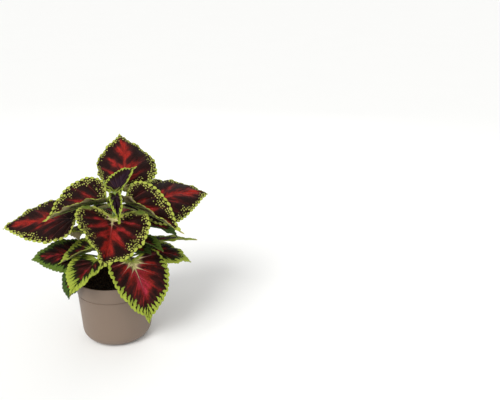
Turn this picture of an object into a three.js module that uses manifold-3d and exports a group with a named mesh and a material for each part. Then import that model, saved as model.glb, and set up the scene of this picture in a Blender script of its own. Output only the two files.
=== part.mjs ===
// Coleus in its round nursery pot: pot, soil, square stems and opposite pairs of leaves.
// Millimetres, +Z up. The origin is the centre of the pot's base, on the surface that it stands on.
// +X is the plant's right, +Y its back. A turn is an angle about +Z from +X, in degrees.
import * as THREE from 'three';
import { mergeVertices } from 'three/addons/utils/BufferGeometryUtils.js';
import Module from 'manifold-3d';

const wasm = await Module();
wasm.setup();

// ---------------------------------------------------------------- driving dimensions
const GAP = 0.3;                  // clearance between pieces that touch

// A stiff band rings the top of the pot, one step out from the wall. A ring-shaped channel with the
// drain holes in it is raised a little above the base, between a centre disc and the rounded corner.
const POT = {
  height: 104, rimRadius: 60, lip: 0.8, bandHeight: 23.5, bandRadius: 57.4, bandWall: 1.8, step: 0.7,
  baseRadius: 52.3, fillet: 19, wall: 1.5, floor: 1.8,
  discRadius: 12, channelRadius: 27, channelHeight: 2.5,
  drainHoles: 6, drainRing: 19.5, drainRadius: 4, sides: 32,
};
const SOIL = { top: 88, shoulder: 1, crown: 1.5 };

// The main stem stands `offset` right of the pot's centre and leans `lean` further over `leanHeight`.
const STEM = {
  width: 6.6, corner: 1.4, foot: 76, top: 236, offset: 2, lean: 9, leanHeight: 150, leanPower: 1.3,
};
const STALK_RADIUS = 1.5;

// A blade thins from the midrib to its rim. `sweep` is how far its side veins lean to the tip, and
// `spacing` sets its rows closer at the stalk, where the outline turns most.
const BLADE = { thickness: 1.0, rim: 0.5, rows: 9, columns: 3, sweep: 1.8, spacing: 1.5 };
const STALK_STEPS = 8;
const MIDRIB_STEPS = 40;
const ALMOST_FLAT = 0.01;         // degrees: stands for a curl of 0, which has no arc

// Side shoots leave the main stem at height `from` and have moved out by `out` at height `to`.
const SHOOTS = {
  front_shoot: { from: 96, to: 136, top: 150, out: [-10, -10], width: 4.4 },
  right_shoot: { from: 102, to: 140, top: 154, out: [9, 6], width: 4.4 },
  back_shoot: { from: 94, to: 140, top: 176, out: [-4, 12], width: 4.4 },
};

// Outline of a blade: how fast it widens from the stalk, how it narrows to the tip, and how far its
// two lobes reach back beside the stalk, as a part of its length. They fill its first tenth or so.
const LOBE_SPAN = 0.1;
const OVATE = { widen: 0.54, narrow: 0.96, lobe: 0.09 };
const BROAD = { widen: 0.42, narrow: 1.07, lobe: 0.13 };
const LANCE = { widen: 0.48, narrow: 1.16, lobe: 0.08 };
const OVAL = { widen: 0.5, narrow: 1.06, lobe: 0.06 };
const SPADE = { widen: 1.0, narrow: 1.3, lobe: 0.1 };

// One line a leaf. node: height of its joint on the stem; turn: the way it points; stalk: stalk length;
// rise: the stalk's slope at the stem; pitch: slope of the midrib at its base and at its tip;
// bend: how far the midrib swings sideways; roll: tilt about the midrib at base and tip;
// size: length and width; fold: how far the left and the right half fold up from the midrib;
// curl: how far each half then curls, up or (negative) down. Angles are in degrees.
const LEAVES = {
  bud_leaf_left: { node: 235, turn: 180, stalk: 1, rise: 70, pitch: [65, 35], bend: 0, roll: [0, 0],
    size: [11, 7], fold: [30, 30], curl: [0, 0], form: OVATE },
  bud_leaf_right: { node: 235, turn: -20, stalk: 1, rise: 70, pitch: [70, 45], bend: 0, roll: [0, 0],
    size: [10, 6], fold: [30, 30], curl: [0, 0], form: OVATE },
  tip_leaf_left: { node: 227, turn: 254, stalk: 2, rise: 35, pitch: [15, -77], bend: 0, roll: [-8, -11],
    size: [18, 13], fold: [21, 14], curl: [0, 0], form: OVATE },
  tip_leaf_right: { node: 225, turn: -57, stalk: 3, rise: 45, pitch: [9, -60], bend: 0, roll: [16, 7],
    size: [17, 13], fold: [22, 10], curl: [0, 0], form: OVATE },
  top_leaf_back: { node: 231, turn: 59, stalk: 3, rise: 60, pitch: [51, 14], bend: 0, roll: [-6, -6],
    size: [54, 46], fold: [26, 30], curl: [-5, -10], form: BROAD },
  top_leaf_front: { node: 230, turn: -76, stalk: 8, rise: 50, pitch: [9, -66], bend: 5, roll: [0, 0],
    size: [58, 26], fold: [54, 44], curl: [0, 0], form: OVATE },
  upper_leaf_left: { node: 219, turn: 189, stalk: 9, rise: 45, pitch: [-8, -23], bend: 0, roll: [-28, -28],
    size: [96, 84], fold: [57, 30], curl: [0, -3], form: LANCE },
  upper_leaf_right: { node: 219, turn: -17, stalk: 14, rise: 50, pitch: [-20, -25], bend: -3, roll: [18, 24],
    size: [100, 81], fold: [55, 58], curl: [-2, 6], form: LANCE },
  axil_leaf_left: { node: 212, turn: 207, stalk: 7, rise: 32, pitch: [3, -24], bend: 0, roll: [6, 3],
    size: [38, 31], fold: [29, 16], curl: [0, -10], form: OVATE },
  axil_leaf_right: { node: 211, turn: -18, stalk: 7, rise: 38, pitch: [3, -25], bend: 0, roll: [-3, 2],
    size: [34, 27], fold: [16, 33], curl: [-10, 0], form: OVATE },
  crown_leaf_back: { node: 199, turn: 77, stalk: 40, rise: 50, pitch: [52, 27], bend: 42, roll: [3, 11],
    size: [106, 104], fold: [-6, -7], curl: [-53, -16], form: SPADE },
  crown_leaf_front: { node: 199, turn: -84, stalk: 28, rise: 57, pitch: [-24, -2], bend: -7, roll: [-16, -36],
    size: [116, 110], fold: [18, 23], curl: [17, -22], form: BROAD },
  middle_leaf_left: { node: 175, turn: 178, stalk: 58, rise: 40, pitch: [-2, -16], bend: 2, roll: [-20, -20],
    size: [115, 94], fold: [5, 6], curl: [-20, -12], form: OVAL },
  middle_leaf_right: { node: 175, turn: 33, stalk: 48, rise: 50, pitch: [20, -21], bend: 2, roll: [20, 16],
    size: [124, 101], fold: [-2, -3], curl: [0, -30], form: OVAL },
  middle_axil_leaf: { node: 172, turn: 2, stalk: 37, rise: 34, pitch: [4, -48], bend: 0, roll: [7, 6],
    size: [62, 44], fold: [28, 19], curl: [0, 0], form: OVATE },
  lower_leaf_front: { node: 144, turn: -48, stalk: 43, rise: 23, pitch: [-37, -88], bend: -4, roll: [-3, -5],
    size: [97, 96], fold: [18, 21], curl: [-10, -19], form: BROAD },
  lower_leaf_back: { node: 144, turn: 132, stalk: 39, rise: 35, pitch: [20, -76], bend: 6, roll: [-8, -10],
    size: [92, 83], fold: [16, 22], curl: [-8, -11], form: OVATE },
  base_leaf_left: { node: 122, turn: 187, stalk: 50, rise: 31, pitch: [6, -13], bend: 0, roll: [-22, -22],
    size: [74, 66], fold: [3, 9], curl: [-24, -15], form: OVAL },
  base_leaf_right: { node: 119, turn: 11, stalk: 45, rise: 34, pitch: [4, -37], bend: 0, roll: [8, 8],
    size: [75, 66], fold: [8, 7], curl: [-17, -9], form: OVATE },
  front_shoot_leaf_1: { on: 'front_shoot', node: 148, turn: -166, stalk: 16, rise: 38, pitch: [-17, -20],
    bend: 0, roll: [-6, -10], size: [57, 62], fold: [37, 22], curl: [-1, -17], form: BROAD },
  front_shoot_leaf_2: { on: 'front_shoot', node: 136, turn: -112, stalk: 24, rise: 38, pitch: [-8, -38],
    bend: -4, roll: [2, -7], size: [73, 66], fold: [20, 10], curl: [15, -7], form: BROAD },
  front_shoot_leaf_3: { on: 'front_shoot', node: 120, turn: -146, stalk: 29, rise: 26, pitch: [-10, -86],
    bend: 3, roll: [-10, -10], size: [59, 50], fold: [12, 19], curl: [-10, -4], form: OVATE },
  right_shoot_leaf_1: { on: 'right_shoot', node: 141, turn: 18, stalk: 36, rise: 20, pitch: [2, -12],
    bend: 0, roll: [-12, -14], size: [81, 46], fold: [6, 6], curl: [0, 0], form: OVATE },
  right_shoot_leaf_2: { on: 'right_shoot', node: 151, turn: -13, stalk: 25, rise: 30, pitch: [-1, -33],
    bend: -4, roll: [4, 2], size: [44, 31], fold: [26, 30], curl: [0, 3], form: OVATE },
  right_shoot_leaf_3: { on: 'right_shoot', node: 146, turn: -30, stalk: 13, rise: 20, pitch: [2, -10],
    bend: 0, roll: [5, -1], size: [42, 40], fold: [16, 13], curl: [0, 0], form: OVATE },
  back_shoot_leaf_1: { on: 'back_shoot', node: 172, turn: 84, stalk: 26, rise: 34, pitch: [10, -34], bend: 6,
    roll: [0, 0], size: [86, 72], fold: [12, 12], curl: [-14, -14], form: OVATE },
  back_shoot_leaf_2: { on: 'back_shoot', node: 138, turn: 96, stalk: 30, rise: 32, pitch: [0, -80],
    bend: 4, roll: [0, 0], size: [84, 76], fold: [14, 14], curl: [-12, -12], form: OVATE },
  back_shoot_leaf_3: { on: 'back_shoot', node: 124, turn: 160, stalk: 34, rise: 30, pitch: [0, -60],
    bend: 0, roll: [0, 0], size: [62, 52], fold: [12, 12], curl: [-10, -10], form: OVATE },
};

// ---------------------------------------------------------------- finishes
const finish = (color, roughness) =>
  new THREE.MeshStandardMaterial({ color, roughness, metalness: 0, side: THREE.DoubleSide });
const POT_FINISH = { color: 0x8f7d6e, roughness: 0.55 };
const SOIL_FINISH = { color: 0x241c17, roughness: 0.95 };
const STEM_FINISH = { color: 0x6f8038, roughness: 0.6 };
const LEAF_FINISH = { color: 0x7a1c22, roughness: 0.6 };

// ---------------------------------------------------------------- solids
const rad = THREE.MathUtils.degToRad;
const mix = THREE.MathUtils.lerp;

function toSolid(geometry) {
  const bare = geometry.index ? geometry.clone() : geometry;
  bare.deleteAttribute('normal');
  bare.deleteAttribute('uv');
  const merged = mergeVertices(bare, 1e-4);
  return new wasm.Manifold(new wasm.Mesh({
    numProp: 3,
    vertProperties: new Float32Array(merged.attributes.position.array),
    triVerts: new Uint32Array(merged.index.array),
  }));
}

function toGeometry(solid) {
  const mesh = solid.getMesh();
  const geometry = new THREE.BufferGeometry();
  geometry.setAttribute('position', new THREE.BufferAttribute(new Float32Array(mesh.vertProperties), 3));
  geometry.setIndex(new THREE.BufferAttribute(new Uint32Array(mesh.triVerts), 1));
  geometry.computeVertexNormals();
  return geometry;
}

function turned(points, sides) {
  return new THREE.LatheGeometry(points.map(([r, z]) => new THREE.Vector2(r, z)), sides).rotateX(Math.PI / 2);
}

function rod(section, points, steps) {
  const path = new THREE.CatmullRomCurve3(points);
  return new THREE.ExtrudeGeometry(section, { extrudePath: path, steps });
}

function roundSection(radius, sides) {
  const corners = Array.from({ length: sides }, (_, i) => {
    const a = (2 * Math.PI * i) / sides;
    return new THREE.Vector2(radius * Math.cos(a), radius * Math.sin(a));
  });
  return new THREE.Shape(corners);
}

function squareSection(width, corner) {
  const h = width / 2;
  const c = h - corner;
  const corners = [[h, -c], [h, c], [c, h], [-c, h], [-h, c], [-h, -c], [-c, -h], [c, -h]];
  return new THREE.Shape(corners.map(([x, y]) => new THREE.Vector2(x, y)));
}

// ---------------------------------------------------------------- pot and soil
// The wall's outer radius below the band, at height z, before the bottom is rounded.
const WALL_TOP = POT.height - POT.bandHeight;
const wallRadius = (z) => mix(POT.baseRadius, POT.bandRadius - POT.step, z / WALL_TOP);

// Points of the rounded bottom corner, `inset` inside the outer wall and `lift` above the base.
function bottomCorner(inset, lift, count) {
  const slope = Math.atan2(wallRadius(WALL_TOP) - POT.baseRadius, WALL_TOP);
  const radius = POT.fillet - inset;
  const centreZ = lift + radius;
  const centreR = wallRadius(centreZ) - inset - radius / Math.cos(slope);
  return Array.from({ length: count + 1 }, (_, i) => {
    const a = mix(-Math.PI / 2, -slope, i / count);
    return [centreR + radius * Math.cos(a), centreZ + radius * Math.sin(a)];
  });
}

function potGeometry() {
  const p = POT;
  const slant = p.channelHeight / 2;
  const outer = [
    [0, 0], [p.discRadius, 0], [p.discRadius + slant, p.channelHeight],
    [p.channelRadius - slant, p.channelHeight], [p.channelRadius, 0],
    ...bottomCorner(0, 0, 5),
    [wallRadius(WALL_TOP), WALL_TOP], [p.bandRadius, WALL_TOP],
    [p.rimRadius, p.height - p.lip], [p.rimRadius - p.lip / 2, p.height],
  ];
  const inner = [
    [p.rimRadius - p.bandWall, p.height], [p.bandRadius - p.bandWall, WALL_TOP],
    [wallRadius(WALL_TOP) - p.wall, WALL_TOP - p.wall],
    ...bottomCorner(p.wall, p.floor, 4).reverse(),
    [p.channelRadius + p.floor, p.floor], [p.channelRadius, p.channelHeight + p.floor],
    [p.discRadius, p.channelHeight + p.floor], [p.discRadius - p.floor, p.floor], [0, p.floor],
  ];
  let solid = toSolid(turned([...outer, ...inner], p.sides));
  for (let i = 0; i < p.drainHoles; i += 1) {
    const a = (2 * Math.PI * i) / p.drainHoles;
    const depth = 4 * p.floor;
    const hole = new THREE.CylinderGeometry(p.drainRadius, p.drainRadius, depth, 8).rotateX(Math.PI / 2);
    hole.translate(p.drainRing * Math.cos(a), p.drainRing * Math.sin(a), p.channelHeight);
    solid = solid.subtract(toSolid(hole));
  }
  return toGeometry(solid);
}

function soilGeometry(stems) {
  const p = POT;
  const inset = p.wall + GAP;
  const base = p.floor + GAP;
  const edge = SOIL.top - SOIL.shoulder;
  const band = mix(p.bandRadius, p.rimRadius, (edge - WALL_TOP) / p.bandHeight);
  const topRadius = band - p.bandWall - GAP;
  const profile = [
    [0, base], [p.discRadius - base, base], [p.discRadius - GAP, p.channelHeight + base],
    [p.channelRadius + GAP, p.channelHeight + base], [p.channelRadius + base + 2 * GAP, base],
    ...bottomCorner(inset, base, 4),
    [wallRadius(WALL_TOP) - inset, WALL_TOP - p.wall - GAP], [topRadius, edge],
    [topRadius * 0.6, SOIL.top], [0, SOIL.top + SOIL.crown],
  ];
  let solid = toSolid(turned(profile, p.sides));
  for (const stem of stems) solid = solid.subtract(stem);
  return toGeometry(solid);
}

// ---------------------------------------------------------------- stems
// Centre of the main stem at height z: it leans a little to the right as it grows.
function stemAxis(z) {
  const grown = Math.max(z - SOIL.top, 0) / STEM.leanHeight;
  return new THREE.Vector3(STEM.offset + STEM.lean * grown ** STEM.leanPower, 0, z);
}

function shootAxis(shoot, z) {
  const t = THREE.MathUtils.clamp((z - shoot.from) / (shoot.to - shoot.from), 0, 1);
  const out = Math.sin((t * Math.PI) / 2);
  return stemAxis(z).add(new THREE.Vector3(shoot.out[0] * out, shoot.out[1] * out, 0));
}

// A square stem up its axis, from one height to another.
function squareRod(axis, from, to, width, corner, bends) {
  const points = Array.from({ length: bends + 1 }, (_, i) => axis(mix(from, to, i / bends)));
  return toSolid(rod(squareSection(width, corner), points, 2 * bends));
}

function stemSolid(grow) {
  return squareRod(stemAxis, STEM.foot - grow, STEM.top + grow, STEM.width + 2 * grow, STEM.corner, 5);
}

function shootSolid(shoot, grow) {
  const axis = (z) => shootAxis(shoot, z);
  return squareRod(axis, shoot.from, shoot.top + grow, shoot.width + 2 * grow, shoot.width / 5, 4);
}

// ---------------------------------------------------------------- leaves
function heading(turn, pitch) {
  const [t, p] = [rad(turn), rad(pitch)];
  return new THREE.Vector3(Math.cos(p) * Math.cos(t), Math.cos(p) * Math.sin(t), Math.sin(p));
}

// The stem that a leaf grows on: its centre at the leaf's joint, and how far its surface is from that.
const axisOf = (leaf) => (leaf.on ? shootAxis(SHOOTS[leaf.on], leaf.node) : stemAxis(leaf.node));
const surfaceOf = (leaf) => (leaf.on ? SHOOTS[leaf.on].width : STEM.width) / 2;

// A line that starts at `start` and turns evenly from the first pitch to the last one.
function arc(start, length, count, turnAt, pitchAt) {
  const points = [start.clone()];
  for (let i = 0; i < count; i += 1) {
    const t = (i + 0.5) / count;
    points.push(points[i].clone().addScaledVector(heading(turnAt(t), pitchAt(t)), length / count));
  }
  return points;
}

function stalkPoints(leaf) {
  const start = axisOf(leaf).addScaledVector(heading(leaf.turn, 0), surfaceOf(leaf));
  return arc(start, leaf.stalk, STALK_STEPS, () => leaf.turn, (t) => mix(leaf.rise, leaf.pitch[0], t));
}

function midribPoints(leaf) {
  return arc(stalkPoints(leaf).at(-1), leaf.size[0], MIDRIB_STEPS,
    (t) => leaf.turn + leaf.bend * t, (t) => mix(leaf.pitch[0], leaf.pitch[1], t));
}

// The blade's direction, its left and its upper side, a part t of the way along the midrib.
function bladeFrame(leaf, t) {
  const turn = leaf.turn + leaf.bend * t;
  const roll = rad(mix(leaf.roll[0], leaf.roll[1], t));
  const along = heading(turn, mix(leaf.pitch[0], leaf.pitch[1], t));
  const level = heading(turn + 90, 0);
  const raised = along.clone().cross(level);
  const left = level.clone().multiplyScalar(Math.cos(roll)).addScaledVector(raised, Math.sin(roll));
  return { along, left, up: along.clone().cross(left) };
}

// A point x mm left of the midrib and a part y of the length along it, on the folded and curled blade.
// Each half is an arc: it leaves the midrib at its fold angle and turns on by its curl per half width.
function bladePoint(leaf, midrib, x, y) {
  const t = THREE.MathUtils.clamp(y, 0, 1);
  const f = bladeFrame(leaf, t);
  const k = Math.min(Math.floor(t * MIDRIB_STEPS), MIDRIB_STEPS - 1);
  const point = midrib[k].clone().lerp(midrib[k + 1], t * MIDRIB_STEPS - k);
  const side = x > 0 ? 0 : 1;
  const fold = rad(leaf.fold[side]);
  const curl = rad(leaf.curl[side] || ALMOST_FLAT) / (leaf.size[1] / 2);
  const reach = Math.abs(x);
  const out = (Math.sin(fold + curl * reach) - Math.sin(fold)) / curl;
  const rise = (Math.cos(fold) - Math.cos(fold + curl * reach)) / curl;
  point.addScaledVector(f.along, (y - t) * leaf.size[0]);
  return point.addScaledVector(f.left, Math.sign(x) * out).addScaledVector(f.up, rise);
}

// A point of the outline, a part s of the way from the stalk to the tip.
function outline(form, s) {
  const peak = form.widen / (form.widen + form.narrow);
  const most = peak ** form.widen * (1 - peak) ** form.narrow;
  return {
    x: (s ** form.widen * (1 - s) ** form.narrow) / most,
    y: s - form.lobe * (s / LOBE_SPAN) * Math.exp(1 - s / LOBE_SPAN),
  };
}

// A closed sheet over the blade: rows follow the side veins from the midrib out to the margin.
function bladeGeometry(leaf) {
  const { rows, columns, thickness, rim, sweep, spacing } = BLADE;
  const midrib = midribPoints(leaf);
  const at = (s, c) => {
    const t = Math.abs(c) / columns;
    const edge = outline(leaf.form, s);
    const root = s ** sweep;
    return bladePoint(leaf, midrib, (Math.sign(c) * t * edge.x * leaf.size[1]) / 2, mix(root, edge.y, t));
  };
  const normal = (s, c) => {
    const e = 0.02;
    const across = at(s, c + e * columns).sub(at(s, c - e * columns));
    const along = at(Math.min(s + e, 1 - 1e-4), c).sub(at(Math.max(s - e, 1e-4), c));
    return along.cross(across).normalize();
  };
  const positions = [];
  const add = (s, c, side) => {
    const half = mix(thickness, rim, Math.abs(c) / columns) / 2;
    const point = at(s, c).addScaledVector(normal(s, c), side * half);
    return positions.push(point.x, point.y, point.z) / 3 - 1;
  };
  const cells = 2 * columns;
  const grid = { 1: [], '-1': [] };
  for (const side of [1, -1]) {
    for (let i = 1; i < rows; i += 1) {
      const s = (i / rows) ** spacing;
      grid[side].push(Array.from({ length: cells + 1 }, (_, j) => add(s, columns - j, side)));
    }
  }
  const base = add(0, 0, 0);
  const tip = add(1, 0, 0);
  const faces = [];
  const quad = (a, b, c, d) => faces.push(a, b, c, a, c, d);
  for (const side of [1, -1]) {
    const g = grid[side];
    const face = (a, b, c) => faces.push(...(side > 0 ? [a, b, c] : [a, c, b]));
    for (let j = 0; j < cells; j += 1) {
      face(base, g[0][j + 1], g[0][j]);
      face(tip, g[rows - 2][j], g[rows - 2][j + 1]);
      for (let i = 0; i < rows - 2; i += 1) {
        face(g[i][j], g[i][j + 1], g[i + 1][j + 1]);
        face(g[i][j], g[i + 1][j + 1], g[i + 1][j]);
      }
    }
  }
  const [top, under] = [grid[1], grid[-1]];
  for (let i = 0; i < rows - 2; i += 1) {
    quad(top[i][0], top[i + 1][0], under[i + 1][0], under[i][0]);
    quad(top[i + 1][cells], top[i][cells], under[i][cells], under[i + 1][cells]);
  }
  faces.push(base, top[0][0], under[0][0], base, under[0][cells], top[0][cells]);
  faces.push(tip, under[rows - 2][0], top[rows - 2][0], tip, top[rows - 2][cells], under[rows - 2][cells]);
  const geometry = new THREE.BufferGeometry();
  geometry.setAttribute('position', new THREE.Float32BufferAttribute(positions, 3));
  geometry.setIndex(faces);
  return geometry;
}

// The stalk runs on for a little way under the blade, where it becomes the midrib.
function stalkGeometry(leaf) {
  const radius = Math.min(STALK_RADIUS, leaf.size[0] / 30);
  const inside = axisOf(leaf).lerp(stalkPoints(leaf)[0], 0.5);
  const under = (t) => midribPoints(leaf)[Math.round(MIDRIB_STEPS * t)]
    .addScaledVector(bladeFrame(leaf, t).up, -0.6 * radius);
  const points = [inside, ...stalkPoints(leaf).slice(0, -1), under(0.08), under(0.2)];
  return rod(roundSection(radius, 5), points, Math.max(4, Math.round(leaf.stalk / 8)));
}

function leafGeometry(leaf, stems) {
  let solid = toSolid(bladeGeometry(leaf)).add(toSolid(stalkGeometry(leaf)));
  for (const stem of stems) solid = solid.subtract(stem);
  const [largest] = solid.decompose().sort((a, b) => b.volume() - a.volume());
  return toGeometry(largest);
}

// ---------------------------------------------------------------- the plant
const plant = new THREE.Group();

function place(name, geometry, look) {
  const mesh = new THREE.Mesh(geometry, finish(look.color, look.roughness));
  mesh.name = name;
  plant.add(mesh);
}

const mainStem = stemSolid(0);
const grownMain = stemSolid(GAP);
const grownShoots = Object.values(SHOOTS).map((shoot) => shootSolid(shoot, GAP));

place('pot', potGeometry(), POT_FINISH);
place('soil', soilGeometry([grownMain, ...grownShoots]), SOIL_FINISH);
place('main_stem', toGeometry(mainStem), STEM_FINISH);
for (const [name, shoot] of Object.entries(SHOOTS)) {
  place(`${name}_stem`, toGeometry(shootSolid(shoot, 0).subtract(grownMain)), STEM_FINISH);
}
for (const [name, leaf] of Object.entries(LEAVES)) {
  place(name, leafGeometry(leaf, [grownMain, ...grownShoots]), LEAF_FINISH);
}

export default plant;
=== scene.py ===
"""A coleus in its round nursery pot: grown leaves, stems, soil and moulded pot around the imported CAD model.

Blender's unit is the metre. Sizes of grown things are written in millimetres and turned by MM.
+X is the plant's right, +Y its back and +Z up; the origin is the centre of the pot's base.
"""

import math
from dataclasses import dataclass, replace
from functools import partial
from types import SimpleNamespace

import bmesh
import bpy
import numpy as np
from bpy.props import FloatProperty, FloatVectorProperty, IntProperty, PointerProperty
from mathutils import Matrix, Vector, noise


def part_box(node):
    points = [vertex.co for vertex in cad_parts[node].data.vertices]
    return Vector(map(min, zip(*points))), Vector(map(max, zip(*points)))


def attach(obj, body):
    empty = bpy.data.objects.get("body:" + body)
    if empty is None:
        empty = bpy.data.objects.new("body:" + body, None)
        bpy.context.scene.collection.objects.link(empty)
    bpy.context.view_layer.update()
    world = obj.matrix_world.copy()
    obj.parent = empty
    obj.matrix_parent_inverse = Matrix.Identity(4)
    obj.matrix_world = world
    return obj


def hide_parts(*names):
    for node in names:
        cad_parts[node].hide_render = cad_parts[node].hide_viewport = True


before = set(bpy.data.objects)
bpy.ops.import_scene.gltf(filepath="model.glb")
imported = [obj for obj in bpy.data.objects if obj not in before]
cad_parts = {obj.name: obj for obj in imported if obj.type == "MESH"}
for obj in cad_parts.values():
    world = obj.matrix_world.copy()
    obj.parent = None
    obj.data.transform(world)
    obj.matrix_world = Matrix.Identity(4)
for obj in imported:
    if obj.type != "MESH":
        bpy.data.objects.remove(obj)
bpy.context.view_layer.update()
POT_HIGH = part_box("pot")[1]

bl_info = {
    "name": "Potted Coleus",
    "version": (1, 0, 0),
    "blender": (4, 5, 0),
    "location": "3D View > Sidebar > Coleus",
    "description": "Grows a coleus in its round nursery pot around a packed CAD model",
    "category": "Object",
}

MM = 0.001
SOIL_TOP = 88    # mm from the base of the pot to the surface of the soil


def linear(code):
    """The linear RGB of an sRGB hex colour such as #a8c43c."""
    parts = [int(code[i:i + 2], 16) / 255 for i in (1, 3, 5)]
    return tuple(c / 12.92 if c <= 0.04045 else ((c + 0.055) / 1.055) ** 2.4 for c in parts)


# ---------------------------------------------------------------- settings
def colour(name, description, code):
    return FloatVectorProperty(name=name, description=description, subtype="COLOR", min=0, max=1,
                               default=linear(code))


def length(name, description, millimetres):
    return FloatProperty(name=name, description=description, unit="LENGTH", min=0, precision=5,
                         default=millimetres * MM)


class PotSettings(bpy.types.PropertyGroup):
    """Sizes and finish of the nursery pot."""
    rim_radius: length("Rim radius", "Outer radius of the rim", POT_HIGH[0] / MM)
    height: length("Height", "From the base to the rim", POT_HIGH[2] / MM)
    band_height: length("Band height", "Height of the stiff band below the rim", 23.5)
    wall: length("Wall", "Thickness of the wall", 1.1)
    plastic: colour("Plastic", "Colour of the moulded plastic", "#7c6a5b")


class SoilSettings(bpy.types.PropertyGroup):
    """The potting soil's surface."""
    top: length("Top", "Height of the soil's surface above the pot's base", SOIL_TOP)
    lump: length("Lump", "How far the surface rises and falls", 2.2)
    crumbs: IntProperty(name="Crumbs", description="How many crumbs of bark and peat lie on top",
                        default=2200, min=0, max=4000)
    peat: colour("Peat", "Colour of the moist peat", "#231a14")
    bark: colour("Bark", "Colour of the bark crumbs", "#4a3423")


class LeafSettings(bpy.types.PropertyGroup):
    """Grain and colours that all the leaves share."""
    tooth: length("Tooth", "Length of one rounded tooth along the rim of a large leaf", 8.6)
    tooth_depth: length("Tooth depth", "How far a tooth stands out beyond the notches", 2.4)
    thickness: length("Thickness", "Thickness of the blade", 0.45)
    quilt: length("Quilt", "How far the blade swells between two side veins", 1.5)
    ruffle: length("Ruffle", "How far the rim waves up and down", 1.3)
    lime: colour("Lime", "Colour of the rim's teeth", "#a3b042")
    island: colour("Island", "Yellowish colour of the islands near the rim", "#bfbd66")
    grass: colour("Grass", "Plain green of basal lobes and of the rim of the lowest leaves", "#60752d")
    green: colour("Green", "Colour of the inner part of a broad rim", "#456820")
    # The Shade green is painted shade: it stands for the shadow that falls on the rims of the leaves deep
    # inside the plant.
    shade: colour("Shade", "Dark green rim of leaves that grew in the shade", "#3c4d22")
    moss: colour("Moss", "Dark green between the lime fingers of a broad rim", "#1c2a10")
    olive: colour("Olive", "Colour of the innermost islands", "#a09a50")
    dark: colour("Dark", "Almost black maroon round the centre", "#1f0c09")
    maroon: colour("Maroon", "Maroon of the centre", "#401614")
    deep: colour("Deep red", "Red of the outer flames", "#5e1b18")
    red: colour("Red", "Brightest red along the midrib", "#a9281f")
    crimson: colour("Crimson", "Pinkish red at the heart of the centre", "#b9344a")
    plum: colour("Plum", "Purple centre of the young leaves", "#2a1826")
    pink: colour("Pink", "Pale pink of the midrib, the side veins and the blush at the stalk", "#c08a80")
    # At the joint the cream is the leaf's own colour; its faint tint on the lobes paints light shining
    # through them, and the underside's cream edge is partly a painted highlight on the rim.
    cream: colour("Cream", "Cream where the stalk joins the blade, and of the underside's edge", "#e0d698")
    # The underside's dark brownish green is partly painted shade, for the undersides lie in the plant's
    # shadow; the khaki band along the rim is partly a painted highlight where the rolled rims catch the
    # light.
    underside: colour("Underside", "Brownish green of the underside", "#3a3822")
    khaki: colour("Khaki", "Paler band of the underside along the rim, and its net of veins", "#aca078")
    stalk: colour("Stalk", "Pale green of stems, stalks and ribs", "#84953f")


class StageSettings(bpy.types.PropertyGroup):
    """Floor, light and camera."""
    floor: colour("Floor", "Colour of the floor", "#fafaf8")
    key: FloatProperty(name="Key light", description="Strength of the main light, soft and far off",
                       default=2.3, min=0)
    fill: FloatProperty(name="Fill light", description="Power of the soft light on the other side",
                        unit="POWER", default=2.5, min=0)
    world: FloatProperty(name="Surroundings", description="Strength of the even light all round",
                         default=0.55, min=0)
    lens: FloatProperty(name="Lens", description="Focal length in millimetres on a 36 mm sensor",
                        default=46.8, min=1)
    tilt: FloatProperty(name="Tilt", description="How far the camera looks down", subtype="ANGLE",
                        default=math.radians(20))
    camera: FloatVectorProperty(name="Camera", description="Where the camera stands", unit="LENGTH",
                                subtype="TRANSLATION", default=(0.210, -0.904, 0.552))


class PlantSettings(bpy.types.PropertyGroup):
    """Everything about the potted plant."""
    pot: PointerProperty(type=PotSettings)
    soil: PointerProperty(type=SoilSettings)
    leaf: PointerProperty(type=LeafSettings)
    stage: PointerProperty(type=StageSettings)


def settings():
    """The settings of the plant in this scene."""
    return bpy.context.scene.coleus


# ---------------------------------------------------------------- the plant's habit, in mm and degrees
# The main stem stands `offset` beside the pot's axis, and at `lean_height` above the soil it has leaned by
# `lean`. A shoot leaves it at height `from`, stands `out` beside it from height `to` on, and ends at `top`.
STEM = {"width": 6.6, "foot": 76, "top": 236, "offset": 2, "lean": 9, "lean_height": 150, "power": 1.3}
SHOOTS = {
    "front_shoot": {"from": 96, "to": 136, "top": 150, "out": (-10, -10), "width": 4.4},
    "right_shoot": {"from": 102, "to": 140, "top": 154, "out": (9, 6), "width": 4.4},
    "back_shoot": {"from": 94, "to": 140, "top": 176, "out": (-4, 12), "width": 4.4},
}
STALK_STEPS, MIDRIB_STEPS = 8, 40
VEIN_SWEEP = 3.2      # how far the side veins lean towards the tip
LOBE_SPAN = 0.1       # the part of a blade's length that its base lobes fill
LEAST_CURL = 0.01     # a flat half is bent this little, because its curl is divided by
STALK_RADIUS = 1.5


@dataclass(frozen=True)
class Form:
    """Outline of a blade: how fast it widens, how it narrows to the tip, how far its lobes reach back and
    how far its tip is drawn out, as parts of its length."""
    widen: float
    narrow: float
    lobe: float
    drawn: float


OVATE, BROAD = Form(0.54, 0.96, 0.09, 0.02), Form(0.42, 1.07, 0.13, 0.03)
LANCE, OVAL = Form(0.48, 1.16, 0.08, 0.035), Form(0.5, 1.06, 0.06, 0.005)
SPADE = Form(1.0, 1.3, 0.1, 0.01)


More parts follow.
